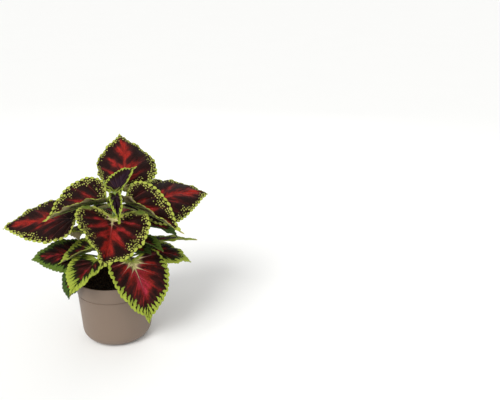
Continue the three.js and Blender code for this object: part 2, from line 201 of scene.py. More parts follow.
@dataclass(frozen=True)
class Look:
    """How a leaf is coloured. Parts run from 0 at the midrib or the stalk to 1 at the rim or the tip."""
    name: str
    belt: tuple           # mm that the lime pattern reaches in from the rim, at stalk, mid length and tip
    feathers: int         # lime fingers a tooth, or 0 for rows of lime islands in a dark net
    bead: float           # mm that the lime of a tooth itself reaches in
    hot: str              # the brightest colour of the centre
    between: float        # how far the red reaches between two side veins
    on_vein: float        # how far it reaches along a side vein
    streak: float         # half width in mm of the red streak along the midrib
    start: float          # the part of the length where the red begins
    glow: float           # how bright the centre is over all
    joint: float = 0.0    # mm that the pale colour of the stalk runs into the blade
    pale: float = 0.15    # how pale the midrib is
    lobes: float = 0.0    # the part of the rim, from the stalk, whose lobes are plain green
    moss: float = 0.0     # how green the dark lines are
    gap: tuple = (0, 0)   # the part of a finger's width that is dark beside it, near the rim and inwards;
                          # below 0 the fingers run together
    edge: str = "lime"    # colour of the rim
    fade: float = 0.62    # the part of the length where the pale midrib ends
    tip: float = 10.0     # mm of plain lime at the tip


# Near the stalk the crown look's lime reaches in only 8 mm, which is partly painted shadow where the top
# leaves shade the blade's rim.
CROWN = Look("crown", (8, 20, 12), 0, 4.2, "red", 0.28, 0.78, 4.6, 0.0, -0.45, joint=11, lobes=0.17, tip=6)
CREST = Look("crest", (24, 15, 10), 0, 4.2, "red", 0.2, 0.7, 3.6, 0.0, -0.35, joint=12, lobes=0.3, tip=6)
BLAZE = Look("blaze", (3, 13, 10), 0, 3.8, "red", 0.4, 0.75, 8.0, 0.15, -0.78, tip=6)
FOLDED = Look("folded", (12, 16, 11), 0, 3.8, "red", 0.3, 0.75, 4.0, 0.1, -0.65, lobes=0.1)
YOUNG = Look("young", (13, 9, 6), 1, 1.6, "plum", 0.5, 0.6, 2.0, 0.0, -0.5, gap=(0.15, 0.45))
STAR = Look("star", (7, 11, 22), 1, 2.6, "crimson", 0.36, 0.7, 10.0, 0.0, 0.1, joint=17, pale=0.9,
            gap=(0.1, 0.5))
RIMMED = Look("rimmed", (12, 18, 20), 1, 3.2, "crimson", 0.3, 0.7, 3.0, 0.1, -0.9, moss=0.85,
              gap=(-0.15, 0.4))
LOWEST = replace(RIMMED, name="lowest", belt=(10, 13, 16), bead=2.6, glow=-0.8, gap=(-0.4, 0.2),
                 edge="grass")
# The shaded look is a shaded copy of the lowest look: its darker centre and Shade-green rim paint the shadow
# on the leaves deep in the plant.
SHADED = replace(LOWEST, name="shaded", glow=-1.1, edge="shade")


@dataclass(frozen=True)
class Leaf:
    """One leaf. node: height of its joint on the stem; turn: the way it points; stalk: stalk length;
    rise: the stalk's slope at the stem; pitch: slope of the midrib at its base and tip; bend: how far
    the midrib swings sideways; roll: tilt about the midrib at base and tip; size: length and width;
    fold: how far the left and right half fold up from the midrib; curl: how far each half then curls."""
    node: float
    turn: float
    stalk: float
    rise: float
    pitch: tuple
    bend: float
    roll: tuple
    size: tuple
    fold: tuple
    curl: tuple
    form: Form
    look: Look
    on: str = ""


LEAVES = {
    "bud_leaf_left": Leaf(235, 180, 1, 70, (65, 35), 0, (0, 0), (11, 7), (30, 30), (0, 0), OVATE, YOUNG),
    "bud_leaf_right": Leaf(235, -20, 1, 70, (70, 45), 0, (0, 0), (10, 6), (30, 30), (0, 0), OVATE, YOUNG),
    "tip_leaf_left": Leaf(227, 254, 2, 35, (15, -77), 0, (-8, -11), (18, 13), (21, 14), (0, 0),
                          OVATE, YOUNG),
    "tip_leaf_right": Leaf(225, -57, 3, 45, (9, -60), 0, (16, 7), (17, 13), (22, 10), (0, 0), OVATE, YOUNG),
    "top_leaf_back": Leaf(231, 59, 3, 60, (51, 14), 0, (-6, -6), (54, 46), (26, 30), (-5, -10),
                          BROAD, YOUNG),
    "top_leaf_front": Leaf(230, -76, 8, 50, (9, -66), 5, (0, 0), (58, 26), (54, 44), (0, 0), OVATE, YOUNG),
    "upper_leaf_left": Leaf(219, 189, 9, 45, (-8, -23), 0, (-28, -28), (96, 84), (57, 30), (0, -3),
                            LANCE, FOLDED),
    "upper_leaf_right": Leaf(219, -17, 14, 50, (-20, -25), -3, (18, 24), (100, 81), (55, 58), (-2, 6),
                             LANCE, FOLDED),
    "axil_leaf_left": Leaf(212, 207, 7, 32, (3, -24), 0, (6, 3), (38, 31), (29, 16), (0, -10),
                           OVATE, YOUNG),
    "axil_leaf_right": Leaf(211, -18, 7, 38, (3, -25), 0, (-3, 2), (34, 27), (16, 33), (-10, 0),
                            OVATE, YOUNG),
    "crown_leaf_back": Leaf(199, 77, 40, 50, (52, 27), 42, (3, 11), (106, 104), (-6, -7), (-53, -16),
                            SPADE, CREST),
    "crown_leaf_front": Leaf(199, -84, 28, 57, (-24, -2), -7, (-16, -36), (116, 110), (18, 23), (17, -22),
                             BROAD, CROWN),
    "middle_leaf_left": Leaf(175, 178, 58, 40, (-2, -16), 2, (-20, -20), (115, 94), (5, 6), (-20, -12),
                             OVAL, BLAZE),
    "middle_leaf_right": Leaf(175, 33, 48, 50, (20, -21), 2, (20, 16), (124, 101), (-2, -3), (0, -30),
                              OVAL, BLAZE),
    "middle_axil_leaf": Leaf(172, 2, 37, 34, (4, -48), 0, (7, 6), (62, 44), (28, 19), (0, 0),
                             OVATE, SHADED),
    "lower_leaf_front": Leaf(144, -48, 43, 23, (-37, -88), -4, (-3, -5), (97, 96), (18, 21), (-10, -19),
                             BROAD, STAR),
    "lower_leaf_back": Leaf(144, 132, 39, 35, (20, -76), 6, (-8, -10), (92, 83), (16, 22), (-8, -11),
                            OVATE, STAR),
    "base_leaf_left": Leaf(122, 187, 50, 31, (6, -13), 0, (-22, -22), (74, 66), (3, 9), (-24, -15),
                           OVAL, LOWEST),
    "base_leaf_right": Leaf(119, 11, 45, 34, (4, -37), 0, (8, 8), (75, 66), (8, 7), (-17, -9),
                            OVATE, RIMMED),
    "front_shoot_leaf_1": Leaf(148, -166, 16, 38, (-17, -20), 0, (-6, -10), (57, 62), (37, 22), (-1, -17),
                               BROAD, RIMMED, "front_shoot"),
    "front_shoot_leaf_2": Leaf(136, -112, 24, 38, (-8, -38), -4, (2, -7), (73, 66), (20, 10), (15, -7),
                               BROAD, RIMMED, "front_shoot"),
    "front_shoot_leaf_3": Leaf(120, -146, 29, 26, (-10, -86), 3, (-10, -10), (59, 50), (12, 19), (-10, -4),
                               OVATE, SHADED, "front_shoot"),
    "right_shoot_leaf_1": Leaf(141, 18, 36, 20, (2, -12), 0, (-12, -14), (81, 46), (6, 6), (0, 0),
                               OVATE, RIMMED, "right_shoot"),
    "right_shoot_leaf_2": Leaf(151, -13, 25, 30, (-1, -33), -4, (4, 2), (44, 31), (26, 30), (0, 3),
                               OVATE, LOWEST, "right_shoot"),
    "right_shoot_leaf_3": Leaf(146, -30, 13, 20, (2, -10), 0, (5, -1), (42, 40), (16, 13), (0, 0),
                               OVATE, SHADED, "right_shoot"),
    "back_shoot_leaf_1": Leaf(172, 84, 26, 34, (10, -34), 6, (0, 0), (86, 72), (12, 12), (-14, -14),
                              OVATE, CROWN, "back_shoot"),
    "back_shoot_leaf_2": Leaf(138, 96, 30, 32, (0, -80), 4, (0, 0), (84, 76), (14, 14), (-12, -12),
                              OVATE, STAR, "back_shoot"),
    "back_shoot_leaf_3": Leaf(124, 160, 34, 30, (0, -60), 0, (0, 0), (62, 52), (12, 12), (-10, -10),
                              OVATE, RIMMED, "back_shoot"),
}


# ---------------------------------------------------------------- small tools
def add_node(tree, kind, inputs=None, **fields):
    """Adds a shader node, sets its fields, and sets or links its inputs, which are counted among those in
    use. A node given as an input stands for its first output in use."""
    node = tree.nodes.new("ShaderNode" + kind)
    for name, value in fields.items():
        setattr(node, name, value)
    sockets = [socket for socket in node.inputs if socket.enabled]
    for key, value in (inputs or {}).items():
        socket = sockets[key] if isinstance(key, int) else next(s for s in sockets if s.name == key)
        if isinstance(value, bpy.types.Node):
            value = next(output for output in value.outputs if output.enabled)
        if isinstance(value, bpy.types.NodeSocket):
            tree.links.new(value, socket)
        else:
            socket.default_value = value
    return node


def new_material(name):
    """An empty material, and add_node for it, so that its recipe reads as a list of steps."""
    material = bpy.data.materials.new(name)
    material.use_nodes = True
    material.node_tree.nodes.clear()
    return material, partial(add_node, material.node_tree)


def finish_material(material, surface, height=None, depth=0.0, **sockets):
    """Ends a material in one Principled shader, with an optional bump `depth` metres deep."""
    tree = material.node_tree
    inputs = {"Base Color": surface}
    inputs.update({name.replace("_", " "): value for name, value in sockets.items()})
    if height is not None:
        inputs["Normal"] = add_node(tree, "Bump", {"Height": height, "Distance": depth})
    shader = add_node(tree, "BsdfPrincipled", inputs)
    add_node(tree, "OutputMaterial", {"Surface": shader})
    return material


def rgba(value):
    return (*value, 1.0)


def mix(a, b, t):
    return a + (b - a) * t


def smoothstep(low, high, x):
    """0 up to low, 1 from high on, and an even S between them; low may be the larger."""
    t = np.clip((x - low) / (high - low), 0, 1)
    return t * t * (3 - 2 * t)


def new_piece(name, points, faces, node, materials, sharp, indices=None):
    """A mesh piece that rides on the plant and stands for a CAD node, if one is named. sharp: the angle in
    degrees from which an edge is crisp; indices: each face's number in the list of materials."""
    mesh = bpy.data.meshes.new(name)
    mesh.from_pydata(np.asarray(points, float).tolist(), [], [list(map(int, f)) for f in faces])
    mesh.polygons.foreach_set("use_smooth", [True] * len(mesh.polygons))
    mesh.set_sharp_from_angle(angle=math.radians(sharp))
    for material in materials:
        mesh.materials.append(material)
    if indices is not None:
        mesh.polygons.foreach_set("material_index", np.asarray(indices, dtype=np.int32))
    mesh.update()
    piece = bpy.data.objects.new(name, mesh)
    bpy.context.collection.objects.link(piece)
    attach(piece, "root")
    if node:
        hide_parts(node)
    return piece


def store(mesh, name, values):
    """Stores one vector a vertex, which a material reads by name."""
    layer = mesh.attributes.new(name, "FLOAT_VECTOR", "POINT")
    layer.data.foreach_set("vector", np.asarray(values, dtype=np.float32).ravel())


def turned(profile, sides):
    """Points and faces of a closed profile of (radius, height) turned about Z."""
    angles = np.arange(sides) * 2 * math.pi / sides
    profile = np.asarray(profile, float)
    count = len(profile)
    points = np.stack([np.outer(np.cos(angles), profile[:, 0]), np.outer(np.sin(angles), profile[:, 0]),
                       np.outer(np.ones(sides), profile[:, 1])], -1).reshape(-1, 3)
    faces = []
    for a in range(sides):
        b = (a + 1) % sides
        for i in range(count):
            j = (i + 1) % count
            faces.append((a * count + i, b * count + i, b * count + j, a * count + j))
    return points, faces


def section_frames(path):
    """Two directions across a path at each of its points, turning as little as possible."""
    tangents = np.gradient(path, axis=0)
    tangents /= np.linalg.norm(tangents, axis=1, keepdims=True)
    side = np.cross(tangents[0], (0, 0, 1) if abs(tangents[0][2]) < 0.9 else (0, 1, 0))
    sides = []
    for tangent in tangents:
        side = side - tangent * side.dot(tangent)
        side /= np.linalg.norm(side)
        sides.append(side)
    sides = np.array(sides)
    return sides, np.cross(tangents, sides)


def tube(path, radii, section):
    """A closed tube along a path. section: unit outline as (across, up) pairs; radii: one for a point."""
    path = np.asarray(path, float)
    first, second = section_frames(path)
    section = np.asarray(section, float)
    count, sides = len(path), len(section)
    across = first[:, None] * section[None, :, :1] + second[:, None] * section[None, :, 1:]
    rings = path[:, None] + across * np.asarray(radii, float)[:, None, None]
    points = np.vstack([rings.reshape(-1, 3), path[:1], path[-1:]])
    faces = []
    for i in range(count - 1):
        for j in range(sides):
            k = (j + 1) % sides
            faces.append((i * sides + j, i * sides + k, (i + 1) * sides + k, (i + 1) * sides + j))
    start, end, last = count * sides, count * sides + 1, (count - 1) * sides
    for j in range(sides):
        k = (j + 1) % sides
        faces.append((start, k, j))
        faces.append((end, last + j, last + k))
    return points, faces


def circle(sides):
    angles = np.arange(sides) * 2 * math.pi / sides
    return np.stack([np.cos(angles), np.sin(angles)], -1)


# ---------------------------------------------------------------- how the plant grows
def heading(turn, pitch):
    """Unit vectors pointing `turn` degrees about Z from +X and `pitch` degrees up."""
    turn, pitch = np.broadcast_arrays(np.radians(turn), np.radians(pitch))
    return np.stack([np.cos(pitch) * np.cos(turn), np.cos(pitch) * np.sin(turn), np.sin(pitch)], -1)


def stem_axis(z):
    """Centre of the main stem at height z."""
    grown = np.maximum(np.asarray(z, float) - SOIL_TOP, 0) / STEM["lean_height"]
    x = STEM["offset"] + STEM["lean"] * grown ** STEM["power"]
    return np.stack([x, 0 * x, np.asarray(z, float)], -1)


def shoot_axis(shoot, z):
    """Centre of a side shoot at height z: it leaves the main stem and bends upright."""
    t = np.clip((np.asarray(z, float) - shoot["from"]) / (shoot["to"] - shoot["from"]), 0, 1)
    out = np.sin(t * math.pi / 2)
    return stem_axis(z) + np.stack([shoot["out"][0] * out, shoot["out"][1] * out, 0 * out], -1)


def arc(start, span, count, turns, pitches):
    """A line of `count` steps that turns evenly; turns and pitches give its heading from 0 to 1."""
    t = (np.arange(count) + 0.5) / count
    steps = heading(turns(t), pitches(t)) * span / count
    return np.vstack([start, start + np.cumsum(steps, axis=0)])


class Blade:
    """The folded, curled surface of one leaf, and the flat outline that it was cut to. small: how weak a
    small leaf's relief is beside a large one's."""

    def __init__(self, leaf, seed, shared):
        self.leaf, self.seed, self.shared = leaf, seed, shared
        self.length, self.width = leaf.size
        self.small = min(1.0, self.length / 80)
        self.thickness = shared.thickness / MM
        axis, half = stem_axis(leaf.node), STEM["width"] / 2
        if leaf.on:
            axis, half = shoot_axis(SHOOTS[leaf.on], leaf.node), SHOOTS[leaf.on]["width"] / 2
        self.axis = axis
        start = axis + heading(leaf.turn, 0) * half
        self.stalk = arc(start, leaf.stalk, STALK_STEPS, lambda t: leaf.turn + 0 * t,
                         lambda t: mix(leaf.rise, leaf.pitch[0], t))
        self.midrib = arc(self.stalk[-1], self.length, MIDRIB_STEPS, lambda t: leaf.turn + leaf.bend * t,
                          lambda t: mix(leaf.pitch[0], leaf.pitch[1], t))

    def point(self, x, y, lift):
        """Places x mm left of the midrib and a part y of the length along it, lifted off the surface."""
        leaf = self.leaf
        t = np.clip(y, 0, 1)
        turn = leaf.turn + leaf.bend * t
        roll = np.radians(mix(leaf.roll[0], leaf.roll[1], t))[..., None]
        along = heading(turn, mix(leaf.pitch[0], leaf.pitch[1], t))
        level = heading(turn + 90, 0 * t)
        left = np.cos(roll) * level + np.sin(roll) * np.cross(along, level)
        up = np.cross(along, left)
        steps = np.arange(MIDRIB_STEPS + 1) / MIDRIB_STEPS
        base = np.stack([np.interp(t, steps, self.midrib[:, i]) for i in range(3)], -1)
        fold = np.radians(np.where(x > 0, *leaf.fold))
        curl = np.radians(np.where(x > 0, *(half or LEAST_CURL for half in leaf.curl))) / (self.width / 2)
        reach, side = np.abs(x), np.sign(x)
        angle = fold + curl * reach
        out = side * (np.sin(angle) - np.sin(fold)) / curl - lift * np.sin(angle) * side
        rise = (np.cos(fold) - np.cos(angle)) / curl + lift * np.cos(angle)
        return (base + along * ((y - t) * self.length)[..., None] + left * out[..., None]
                + up * rise[..., None])

    def margin(self, s):
        """The flat outline's (x, y) in mm on the left side, a part s of the way from stalk to tip."""
        form = self.leaf.form
        peak = form.widen / (form.widen + form.narrow)
        most = peak ** form.widen * (1 - peak) ** form.narrow
        x = s ** form.widen * (1 - s) ** form.narrow / most * self.width / 2
        y = s - form.lobe * (s / LOBE_SPAN) * np.exp(1 - s / LOBE_SPAN)

        # The tip grows narrow, and is drawn out.
        x = x * (1 - 14 * form.drawn * smoothstep(0.72, 0.97, s))
        y = y + form.drawn * smoothstep(0.88, 1.0, s)
        return np.stack([x, y * self.length], -1)


EDGE_STEPS = 2000     # steps in which the length of a blade's outline is measured
ROWS_PER_TOOTH = 10
COLUMNS = 22          # columns of the grid on each half of a blade
SMALL_LEAF, FEW_COLUMNS = 40, 12  # a blade shorter than this many mm has fewer columns
FEWEST_TEETH = 7
SIDE_VEINS = 6
TOOTH_UNIT = 7.5      # mm that a tooth counts for in the rim's pattern, whatever the leaf's size
ISLAND = (3.6, 3.8)   # mm that one lime island and its dark net take, along the rim and inwards
LONG_WAVE, SHORT_WAVE = 33, 19    # mm along the rim from one ruffle to the next
NO_VEIN = 9.0         # mm that count as far from any side vein
PUCKER = 2.8          # mm across one of the little swellings between the finest veins


def toothed_rim(blade):
    """The left rim, row by row. s: part of the way from stalk to tip; u: mm along the smooth outline, whose
    points and running length are edge and run; cut: the rim with its teeth, which stand out of the outline
    by `stand` mm; bead: how full a tooth is; teeth: teeth counted from the stalk."""
    fine = np.linspace(0, 1, EDGE_STEPS + 1) ** 1.5
    edge = blade.margin(fine)
    run = np.concatenate([[0], np.cumsum(np.linalg.norm(np.diff(edge, axis=0), axis=1))])
    tooth = blade.shared.tooth / MM
    count = max(FEWEST_TEETH, round(run[-1] / (tooth * min(1.0, 0.25 + blade.length / 155))))
    pitch = run[-1] / count
    u = np.linspace(0, run[-1], count * ROWS_PER_TOOTH + 1)[1:-1]
    s = np.interp(u, run, fine)

    # Rounded teeth with narrow notches lean to the tip; they fade at the stalk and along the tip.
    smooth = blade.margin(s)
    tangent = np.gradient(smooth, axis=0)
    tangent /= np.linalg.norm(tangent, axis=1, keepdims=True)
    outward = np.stack([tangent[:, 1], -tangent[:, 0]], -1)
    bead = np.sin(math.pi * ((u / pitch) % 1.0) ** 1.15) ** 0.65
    fade = smoothstep(0, 0.08, u / run[-1]) * smoothstep(1.0, 0.93, u / run[-1])
    sizes = 1 + 0.3 * np.sin(u * 0.5 + blade.seed) * np.sin(u * 0.17 + 2 * blade.seed)
    depth = blade.shared.tooth_depth / MM * pitch / tooth * fade * sizes
    stand = depth * (bead - 0.6)
    cut = smooth + outward * stand[:, None] + tangent * (0.3 * depth * bead)[:, None]
    return SimpleNamespace(s=s, u=u, edge=edge, run=run, cut=cut, stand=stand, bead=bead * fade,
                           teeth=u / pitch, pitch=pitch)


def blade_fields(blade, columns):
    """The flat grid of a blade, and what its colours and its relief follow. c, t: part of the way from the
    midrib to the rim, with its side and without; rim, vein_gap: mm to the smooth outline and to the nearest
    side vein; beside: teeth counted to the nearest spot of the rim; vein: side veins counted from the
    stalk; out: mm along them."""
    rim = toothed_rim(blade)
    c = np.linspace(-1, 1, 2 * columns + 1)
    c = np.sign(c) * (1 - (1 - np.abs(c)) ** 1.25)
    t, side = np.abs(c), np.sign(c)

    # Each row of the grid starts from a root on the midrib and sweeps to the tip, as the side veins do.
    root = rim.s ** VEIN_SWEEP * blade.length
    x = np.outer(rim.cut[:, 0], c)
    y = root[:, None] + (rim.cut[:, 1] - root)[:, None] * t[None]
    flat = np.stack([x, y], -1)

    # The rim's distance is measured to every eighth point of its outline.
    near, near_run = rim.edge[::8], rim.run[::8]
    distance, beside = np.empty(x.shape), np.empty(x.shape)
    for i in range(len(x)):
        gaps = np.hypot(np.abs(x[i])[:, None] - near[None, :, 0], y[i][:, None] - near[None, :, 1])
        distance[i], beside[i] = gaps.min(axis=1), near_run[gaps.argmin(axis=1)]
    distance[:, 0] = distance[:, -1] = -rim.stand
    beside[:, 0] = beside[:, -1] = rim.u

    # Two side veins lie as far apart as the rows between them, measured square to a vein.
    vein = SIDE_VEINS * rim.s
    along_rows = np.gradient(flat, axis=0) / np.gradient(vein)[:, None, None]
    along_vein = np.stack([rim.cut[:, 0, None] * side, (rim.cut[:, 1] - root)[:, None] + 0 * c], -1)
    reach = np.linalg.norm(along_vein, axis=-1, keepdims=True)
    along_vein /= reach + 1e-6
    spacing = np.abs(along_rows[..., 0] * along_vein[..., 1] - along_rows[..., 1] * along_vein[..., 0])
    off = np.abs(vein - np.round(vein))
    vein_gap = np.where(np.round(vein)[:, None] >= 1, off[:, None] * spacing, NO_VEIN)
    return SimpleNamespace(s=rim.s, u=rim.u, bead=rim.bead, teeth=rim.teeth, c=c, t=t, flat=flat,
                           rim=distance, beside=beside / rim.pitch, vein=vein, vein_gap=vein_gap,
                           out=reach[..., 0] * t)


def relief(blade, f):
    """How far each grid point stands off the smooth surface, in mm: quilting, cushioned teeth, ruffles."""
    shared, size, seed = blade.shared, blade.small, blade.seed
    t, u = f.t[None], f.u[:, None]
    x, y = f.flat[..., 0], f.flat[..., 1]
    swell = np.abs(np.sin(math.pi * f.vein))[:, None] ** 0.7
    inner = smoothstep(0.02, 0.3, t) * mix(1.0, 0.25, smoothstep(0.6, 1.0, t))
    room = np.clip(f.vein_gap.max(axis=1, keepdims=True) / 3.0, 0.2, 1.0)
    quilt = shared.quilt / MM * size * swell * inner * room
    side = 3.0 * np.sign(x)
    wave = np.sin(2 * math.pi * u / LONG_WAVE + seed + side)
    wave = wave + 0.6 * np.sin(2 * math.pi * u / SHORT_WAVE + 1.7 * seed - side)
    ruffle = shared.ruffle / MM * size * wave * t ** 3
    cushion = 0.9 * size * (f.bead[:, None] - 0.5) * smoothstep(7.0, 1.5, f.rim)
    rolled = -0.9 * size * smoothstep(1.6, -1.2, f.rim)
    slow = 0.8 * size * t * np.sin(x / 17 + seed) * np.cos(y / 23 + 2 * seed)
    crease = -0.3 * size * np.exp(-(x / 1.6) ** 2)
    return quilt + ruffle + cushion + rolled + slow + crease


def colour_fields(blade, f):
    """Slow fields that place the pattern; the material adds the detail. belt: 0 at the rim to 1 where the
    lime ends; heat: from dark to brightest red; joint: above 0 where the stalk's pale colour runs in;
    tip: 1 in the drawn-out tip; lobe: 1 in the lobes at the stalk; pale: how pale the veins are."""
    look, s, t = blade.leaf.look, f.s[:, None], f.t[None]
    x, y = f.flat[..., 0], f.flat[..., 1]
    size = min(1.0, 0.4 + blade.length / 160)
    u, along = f.u[:, None] + 40 * np.sign(x), y / blade.length

    # The lime's reach follows the look from the stalk to the tip, and wanders along the rim.
    wander = 1 + 0.2 * np.sin(u / 11 + blade.seed) + 0.12 * np.sin(u / 4.7 + 3 * blade.seed)
    belt = f.rim / (np.interp(s, (0.04, 0.12, 0.45, 0.95), (2.5, *look.belt)) * size * wander)

    # Red reaches farthest along the side veins, and a streak of it runs along the midrib. It stays clear
    # of the lime, and of the blade's base where the look says so.
    prox = (0.5 + 0.5 * np.cos(2 * math.pi * f.vein))[:, None]
    reach = mix(look.between, look.on_vein, prox ** 1.2)
    heat = np.clip((reach - t) * 3.6, -1.4, 1.0) + look.glow
    streak = look.streak * size * (0.6 + 0.4 * along)
    ridge = 1.3 - 0.9 * (np.abs(x) / streak) ** 1.5
    ridge = ridge - 0.9 * smoothstep(0.5, 0.1, along) * (not look.joint)
    heat = np.maximum(heat, np.clip(ridge, -2.0, 2.0) + 0.5 * look.glow)
    heat = np.minimum(heat, (belt - 1.0) * 2.5)
    heat = heat - 1.6 * (1 - smoothstep(look.start - 0.01, look.start + 0.2, along + 0.15 * t))

    # The stalk's pale colour runs out from the joint in rays along the midrib and the side veins.
    joint = np.full(x.shape, -1.0)
    if look.joint:
        far = np.hypot(x, y)
        ray = mix(1.8, 0.5, np.clip(far / (1.6 * look.joint), 0, 1))
        side_ray, mid_ray = np.exp(-(f.vein_gap / ray) ** 2), np.exp(-(x / ray) ** 2)
        joint = 1 - far / (look.joint * size * (0.75 + np.maximum(0.7 * side_ray, 1.6 * mid_ray)))

    tip = smoothstep(look.tip * size, 0.45 * look.tip * size, np.hypot(x, y - blade.length))
    lobe = smoothstep(0.03, 0.07, s) * smoothstep(0.6, 0.85, t)
    lobe = lobe * (smoothstep(look.lobes, 0.7 * look.lobes, s) if look.lobes else 0)
    pale = look.pale * smoothstep(look.fade, 0.2, along)
    return (belt, heat, joint), (tip, lobe, pale)


UPPER_SKIN, UNDERSIDE, STALK = range(3)    # a leaf's materials, in this order


def blade_mesh(blade, columns):
    """Points, faces, material numbers and stored fields of a blade: upper skin, underside and rim."""
    f = blade_fields(blade, columns)
    lift = relief(blade, f)
    x, y = f.flat[..., 0], f.flat[..., 1] / blade.length
    thick = blade.thickness * mix(1.0, 0.6, f.t[None]) * min(1.0, 0.4 + blade.length / 60)
    top = blade.point(x, y, lift)
    under = blade.point(x, y, lift - thick)
    rows, wide = x.shape
    ends = blade.point(np.zeros(2), np.array([0.0, 1.0 + blade.leaf.form.drawn]), np.zeros(2))
    points = np.vstack([top.reshape(-1, 3), under.reshape(-1, 3), ends])
    base, tip = 2 * rows * wide, 2 * rows * wide + 1
    grid = np.arange(rows * wide).reshape(rows, wide)
    quads = np.stack([grid[:-1, :-1], grid[1:, :-1], grid[1:, 1:], grid[:-1, 1:]], -1).reshape(-1, 4)
    low = grid + rows * wide
    faces, numbers = [], []
    skins = ((grid, quads, UPPER_SKIN, 1), (low, quads + rows * wide, UNDERSIDE, -1))
    for skin, body, number, flip in skins:
        faces += [tuple(q[::flip]) for q in body]
        faces += [(base, *(skin[0, j:j + 2][::flip])) for j in range(wide - 1)]
        faces += [(tip, *(skin[-1, j:j + 2][::-flip])) for j in range(wide - 1)]
        numbers += [number] * (len(body) + 2 * (wide - 1))
    for column, flip in ((0, 1), (wide - 1, -1)):
        for i in range(rows - 1):
            a, b = grid[i, column], grid[i + 1, column]
            faces.append((a, a + rows * wide, b + rows * wide, b)[::flip])
        a, b = grid[0, column], grid[-1, column]
        faces.append((base, a + rows * wide, a)[::flip])
        faces.append((tip, b, b + rows * wide)[::flip])
        numbers += [UPPER_SKIN] * (rows + 1)
    tones, marks = colour_fields(blade, f)
    seed = blade.seed * 13.7 + np.where(x > 0, 0.0, 50.0)
    places = {
        "rim_place": (f.beside, f.rim, seed),
        "vein_place": (f.vein[:, None], f.out, seed),
        "flat_place": (x, y * blade.length, seed),
        "line_gaps": (f.vein_gap, np.abs(x), f.teeth[:, None]),
        "tones": tones,
        "marks": marks,
    }
    for name, parts in places.items():
        skin = np.stack([part + 0 * x for part in parts], -1)
        places[name] = np.vstack([skin.reshape(-1, 3), skin.reshape(-1, 3), skin[0, :1], skin[-1, :1]])
    return f, lift, points, faces, numbers, places


def stalk_and_midrib(blade):
    """The stalk starts inside the stem's skin, and thins away along the underside as the midrib."""
    count = 24
    y = np.linspace(0.02, 0.96, count)
    radius = min(STALK_RADIUS, blade.length / 30)
    rib = mix(radius * 0.8, 0.22 * blade.small, (y / y[-1]) ** 0.6)
    midline = blade.point(np.zeros(count), y, -0.5 * blade.small - blade.thickness - rib * 0.55)
    socket = mix(blade.axis, blade.stalk[0], np.linspace(0.6, 1, 3)[:-1, None])
    path = np.vstack([socket, blade.stalk[:-1], midline])
    swollen, slender = np.linspace(1.35, 1.2, 2), np.linspace(1.15, 0.95, len(blade.stalk) - 1)
    radii = np.concatenate([np.concatenate([swollen, slender]) * radius, rib])
    return tube(path, radii, circle(12))


def side_vein_ribs(blade, f, lift):
    """The raised side veins below the blade, each a thread that thins towards the rim."""
    reach = np.linspace(0.0, 0.92, 12)
    fine = mix(0.5, 0.16, reach) * blade.small
    ribs = []
    for vein in range(1, SIDE_VEINS):
        row = int(np.argmin(np.abs(f.vein - vein)))
        for side in (-1, 1):
            at = np.interp(reach * side, f.c, np.arange(len(f.c)))
            near = np.clip(at.round().astype(int), 0, len(f.c) - 1)
            x, y = (np.interp(reach * side, f.c, f.flat[row][:, i]) for i in (0, 1))
            depth = lift[row, near] - 0.85 * blade.thickness - fine * 0.3
            ribs.append(tube(blade.point(x, y / blade.length, depth), fine, circle(6)))
    return ribs


def leaf_piece(name, leaf, seed, materials):
    """One leaf: its blade, the stalk that runs on as its midrib, and the ribs of its side veins."""
    blade = Blade(leaf, seed, settings().leaf)
    columns = FEW_COLUMNS if blade.length < SMALL_LEAF else COLUMNS
    f, lift, points, faces, numbers, places = blade_mesh(blade, columns)
    for tube_points, tube_faces in (stalk_and_midrib(blade), *side_vein_ribs(blade, f, lift)):
        start = len(points)
        points = np.vstack([points, tube_points])
        faces += [tuple(i + start for i in face) for face in tube_faces]
        numbers += [STALK] * len(tube_faces)
    piece = new_piece(f"grown_{name}", points * MM, faces, name, materials, sharp=50,
                      indices=numbers)
    for key, values in places.items():
        padded = np.zeros((len(points), 3))
        padded[:len(values)] = values
        store(piece.data, key, padded)


# ---------------------------------------------------------------- materials
SMOOTH = {"interpolation_type": "SMOOTHSTEP"}
SWAY = 10 / 3         # mm from one waver to the next of whatever grew in rows
PATCH = 12.5          # mm across one patch of brighter or duller colour
MOTTLE = 11.1         # mm across one patch of the underside
RIM_DRIFT = (2.4, 2.2)            # mm that the pattern at the rim wanders, along it and inwards
NET_DRIFT = 1.5       # mm that the net of the finest veins wanders
FLAME = (4.6, 20)     # red streaks from one side vein to the next, and how long one is in mm


def stored(node, name):
    """A stored vector as a whole, then its three numbers."""
    whole = node("Attribute", attribute_name=name).outputs["Vector"]
    return whole, *node("SeparateXYZ", {0: whole}).outputs


def skin_places(node):
    """What a blade's mesh tells of each spot of its upper skin, and how unevenly that spot grew."""
    at = SimpleNamespace()
    at.rim_place, at.rim_tooth, at.rim_gap, at.half = stored(node, "rim_place")
    at.flat_place, *_ = stored(node, "flat_place")
    at.vein_place, at.vein, *_ = stored(node, "vein_place")
    _, at.vein_gap, at.midrib_gap, at.tooth = stored(node, "line_gaps")
    _, at.belt, at.warmth, at.joint = stored(node, "tones")
    _, at.tip, at.lobe, at.pale = stored(node, "marks")
    at.sway = node("TexNoise", {"Vector": at.flat_place, "Scale": 1 / SWAY, "Detail": 2.0})
    at.drift = node("VectorMath", {0: at.sway.outputs["Color"], 1: (0.5, 0.5, 0.5)}, operation="SUBTRACT")
    at.patchy = node("TexNoise", {"Vector": at.flat_place, "Scale": 1 / PATCH, "Detail": 3.0})
    return at


